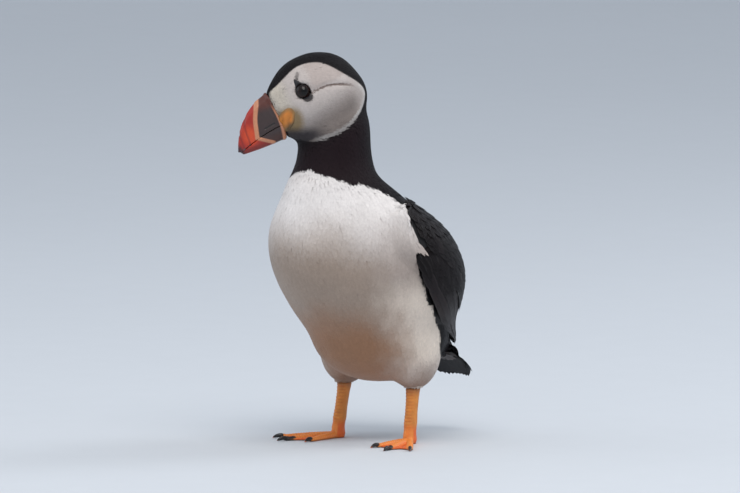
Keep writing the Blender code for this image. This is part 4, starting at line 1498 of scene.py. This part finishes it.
foot = {
    "grain": 0.42, "splay": 20.0, "swell": 0.12, "shankMore": 0.6,
    "toes": {"inner": (-24.0, 27.0), "middle": (0.0, 36.0), "outer": (22.0, 34.0)},
    "scuteStep": 1.7, "scuteRise": 0.13, "foldRise": 0.16, "shankStep": 2.0,
    "clawLength": 6.4, "clawRadius": 1.35,
    "web": paint(226, 104, 38), "toe": paint(236, 146, 66), "shank": paint(222, 140, 58),
    "shankShade": paint(150, 74, 30), "knob": paint(150, 92, 54), "crease": paint(176, 66, 24),
    "claw": paint(28, 24, 25),
}
cuff = {  # the short feathers round the top of a leg, in millimetres
    "count": 420, "start": (41, 49), "end": (33.2, 36.5), "halfWidth": 0.85,
    "low": 5.0, "high": 9.5, "toneHeight": 54.0,
}


def heelOf(side):
    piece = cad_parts["leg_" + side]
    places = vertexPlaces(piece)
    low = places[places[:, 2] < places[:, 2].min() + 1 * mm]
    return np.array([low[:, 0].mean(), low[:, 1].mean(), 0])


def toeWays(side):
    ways = {}
    for name, (spreadOut, length) in foot["toes"].items():
        turn = math.radians(foot["splay"] + spreadOut) * sides[side]
        ways[name] = (np.array([math.sin(turn), -math.cos(turn), 0]), length * mm)
    return ways


def legAndFoot(side):
    piece = nodesCopied("leg_and_foot_" + side, ["leg_" + side, "foot_" + side], foot["swell"] * mm)
    modified(piece, "REMESH", mode="VOXEL", voxel_size=foot["grain"] * mm)
    modified(piece, "SMOOTH", factor=0.5, iterations=3)
    places, normals = vertexPlaces(piece), vertexNormals(piece)
    heel, ways = heelOf(side), toeWays(side)
    flat = places - heel
    low = ease(13 * mm, 7 * mm, places[:, 2])
    nearest = np.full(len(places), 9.0)
    toeAlong = np.zeros(len(places))
    for way, length in ways.values():
        t = np.clip((flat @ way) / length, 0, 1.1)
        away = np.linalg.norm((flat - way * (t * length)[:, None])[:, :2], axis=1) / mm
        toeAlong = np.where(away < nearest, t * length / mm, toeAlong)
        nearest = np.minimum(nearest, away)
    onToe = ease(2.5, 1.7, nearest) * low
    out = np.hypot(flat[:, 0], flat[:, 1]) / mm
    turn = np.degrees(np.arctan2(flat[:, 0] * sides[side], -flat[:, 1])) - foot["splay"]
    scutes = np.sin(toeAlong * 2 * math.pi / foot["scuteStep"]) * onToe * (normals[:, 2] > 0.2)
    onWeb = (1 - onToe) * low * ease(6, 14, out) * ease(0.3, 0.7, normals[:, 2])
    folds = np.sin(turn * 0.9 + 0.6 * np.sin(out * 0.35)) * onWeb
    rings = np.sin(places[:, 2] / mm * 2 * math.pi / foot["shankStep"])
    shankScutes = rings * (1 - low) * ease(0.1, 0.7, -normals[:, 1])
    push = foot["scuteRise"] * (scutes + shankScutes) + foot["foldRise"] * folds
    push = push + foot["shankMore"] * (1 - low)
    push = np.where(places[:, 2] < 0.6 * mm, 0, push)
    moved = places + normals * push[:, None] * mm
    moved[:, 2] = np.maximum(moved[:, 2], 0)
    movedTo(piece, moved)
    small = smallPatches(places / mm * 2.2)
    tint = mixed(foot["web"], foot["toe"], 0.85 * onToe)
    # darker in the web's folds and between the toes' scales: painted shade in the hollows
    tint = mixed(tint, foot["crease"], 0.5 * ease(0.2, 1.0, -folds) + 0.35 * ease(0.3, 1, -scutes))
    # the shank is painted darker on its back, away from the light: painted shade
    dark = np.clip(0.12 + 0.08 * small + 0.4 * ease(0.0, 0.9, normals[:, 1]), 0, 1)
    shank = mixed(foot["shank"], foot["shankShade"], dark)
    shank = mixed(shank, foot["knob"], ease(28, 36, places[:, 2] / mm))
    # darker between the shank's scales: painted shade
    shank = mixed(shank, foot["crease"], 0.35 * ease(0.3, 1, -shankScutes))
    tint = mixed(shank, tint, low)
    # darker where the foot meets the floor: a painted contact shadow
    tint = mixed(tint, foot["shankShade"] * 0.6, 0.7 * ease(1.2, 0.3, places[:, 2] / mm))
    for way, length in ways.values():
        beyond = (flat @ way - length) / mm
        tint = mixed(tint, foot["claw"], ease(0.2, 1.0, beyond) * ease(2.2, 1.6, nearest))
    tinted(piece, np.clip(tint, 0, 1))
    piece.data.shade_smooth()
    placed(piece, fleshCover, "orange_skin", "leg_" + side, "foot_" + side)
    for name, (way, length) in ways.items():
        claw(side, name, heel + way * (length - 0.6 * mm), way)


def claw(side, toe, start, way):
    deselected()
    length = foot["clawLength"]
    bpy.ops.mesh.primitive_cone_add(vertices=16, radius1=foot["clawRadius"] * mm, radius2=0.12 * mm,
                                    depth=length * mm, location=(0, 0, length * mm / 2))
    piece = bpy.context.object
    piece.name = piece.data.name = f"claw_{toe}_{side}"
    bpy.ops.object.transform_apply(location=True, rotation=True, scale=True)
    bpy.ops.object.mode_set(mode="EDIT")
    bpy.ops.mesh.select_all(action="SELECT")
    bpy.ops.mesh.subdivide(number_cuts=5)
    bpy.ops.object.mode_set(mode="OBJECT")
    places = vertexPlaces(piece) / mm
    share = places[:, 2] / length
    fat = (1 - share ** 2) / np.maximum(1 - share, 0.08)
    across, high = places[:, 0] * fat * 0.9, places[:, 1] * fat
    rise = 1.5 + 0.7 * np.sin(share * math.pi * 0.75) - 1.15 * share ** 1.5
    sideways = np.cross(way, [0, 0, 1])
    made = start + (way * places[:, 2:3] + sideways * across[:, None]) * mm
    made[:, 2] = np.maximum((rise + high) * mm, 0.05 * mm)
    movedTo(piece, made)
    tinted(piece, np.tile(foot["claw"], (len(places), 1)) * (1 + 0.6 * share[:, None]))
    turnedOut(piece)
    return placed(piece, clawCover, "bill_horn")


def legCuff(side):
    # the thigh's last feathers close round the top of the leg
    top = legTops[side] * mm
    count = cuff["count"]
    turn = chance.uniform(0, 2 * math.pi, count)
    along = np.array(coat["stations"])
    stations = len(along)
    start = chance.uniform(*cuff["start"], count)
    length = start - chance.uniform(*cuff["end"], count)
    z = start[:, None] - length[:, None] * along
    reach = cuff["low"] + (cuff["high"] - cuff["low"]) * ease(33, 50, z)
    reach = reach + chance.uniform(-0.4, 0.3, (count, 1))
    out = np.stack([np.sin(turn), -np.cos(turn), 0 * turn], axis=1)
    centres = np.empty((count, stations, 3))
    centres[..., 0] = top[0] + out[:, None, 0] * reach * mm
    centres[..., 1] = top[1] + out[:, None, 1] * reach * 1.2 * mm
    centres[..., 2] = z * mm
    normals = np.repeat(unit(out + (0, 0, -0.15))[:, None], stations, axis=1)
    widths = np.array([0.5, 0.9, 1.0, 0.8]) * cuff["halfWidth"] * mm * np.ones((count, 1))
    ridges = np.full((count, stations - 1), 0.1 * mm)
    # the cuff takes the coat's colour beside the thigh, with its painted shade
    onThigh = top * (1, 1, 0) + out * cuff["high"] * mm + (0, 0, cuff["toneHeight"] * mm)
    tone = plumageAt(onThigh, out) * chance.uniform(0.85, 1.05, (count, 1))
    spots = np.stack([0.1 + 0.8 * turn / 2 / math.pi, 0.2 + 0.6 * (start - 45) / 5], axis=1)
    piece = featherMesh("thigh_cuff_" + side, centres, normals, widths, ridges,
                        np.repeat(tone[:, None], stations, axis=1), spots, soft=(0.7, 0.2))
    placed(piece, whiteFeather, "white_plumage")


for side in sides:
    legAndFoot(side)
    legCuff(side)
print("legs and feet made")


studio = {
    "azimuth": 42.0, "elevation": 6.0, "distance": 7.4, "lens": 600.0, "aim": (0.002, -0.004, 0.1185),
    "floorSize": 600, "floor": (0.62, 0.65, 0.69, 1), "world": (0.74, 0.8, 0.88, 1), "worldStrength": 0.7,
    # place, size across, watts and colour
    "lamps": {
        "key": ((0.9, -0.8, 2.1), 1.6, 31, (1.0, 0.97, 0.93)),
        "fill": ((-1.4, -1.2, 0.9), 1.6, 5, (0.9, 0.95, 1.0)),
        "back": ((0.8, 1.6, 1.4), 1.0, 12, (0.93, 0.96, 1.0)),
    },
}


def floor():
    deselected()
    bpy.ops.mesh.primitive_plane_add(size=studio["floorSize"], location=(0, 0, 0))
    piece = bpy.context.object
    piece.name = "floor"
    material, tree, shader = newMaterial("floor_pale", 0.7)
    toned(tree, shader, studio["floor"], patchSize=3.0, grainSize=40.0, strength=0.03)
    piece.data.materials.append(material)


def lamp(name, place, size, power, colour):
    data = bpy.data.lights.new(name, "AREA")
    data.shape, data.size, data.energy, data.color = "DISK", size, power, colour
    piece = bpy.data.objects.new(name, data)
    piece.location = place
    piece.rotation_euler = (Vector(studio["aim"]) - Vector(place)).to_track_quat("-Z", "Y").to_euler()
    bpy.context.scene.collection.objects.link(piece)


def studioScene():
    floor()
    for name, values in studio["lamps"].items():
        lamp(name, *values)
    world = bpy.data.worlds.new("studio")
    bpy.context.scene.world = world
    world.use_nodes = True
    sky = world.node_tree.nodes["Background"].inputs
    sky[0].default_value, sky[1].default_value = studio["world"], studio["worldStrength"]
    bpy.context.scene.view_settings.view_transform = "Standard"
    data = bpy.data.cameras.new("camera")
    data.lens, data.sensor_width, data.clip_end = studio["lens"], 36, 900
    camera = bpy.data.objects.new("camera", data)
    turn, tilt = math.radians(studio["azimuth"]), math.radians(studio["elevation"])
    out = Vector((math.sin(turn) * math.cos(tilt), -math.cos(turn) * math.cos(tilt), math.sin(tilt)))
    camera.location = Vector(studio["aim"]) + out * studio["distance"]
    camera.rotation_euler = (-out).to_track_quat("-Z", "Y").to_euler()
    bpy.context.scene.collection.objects.link(camera)
    bpy.context.scene.camera = camera


studioScene()
print("studio set")

deselected()
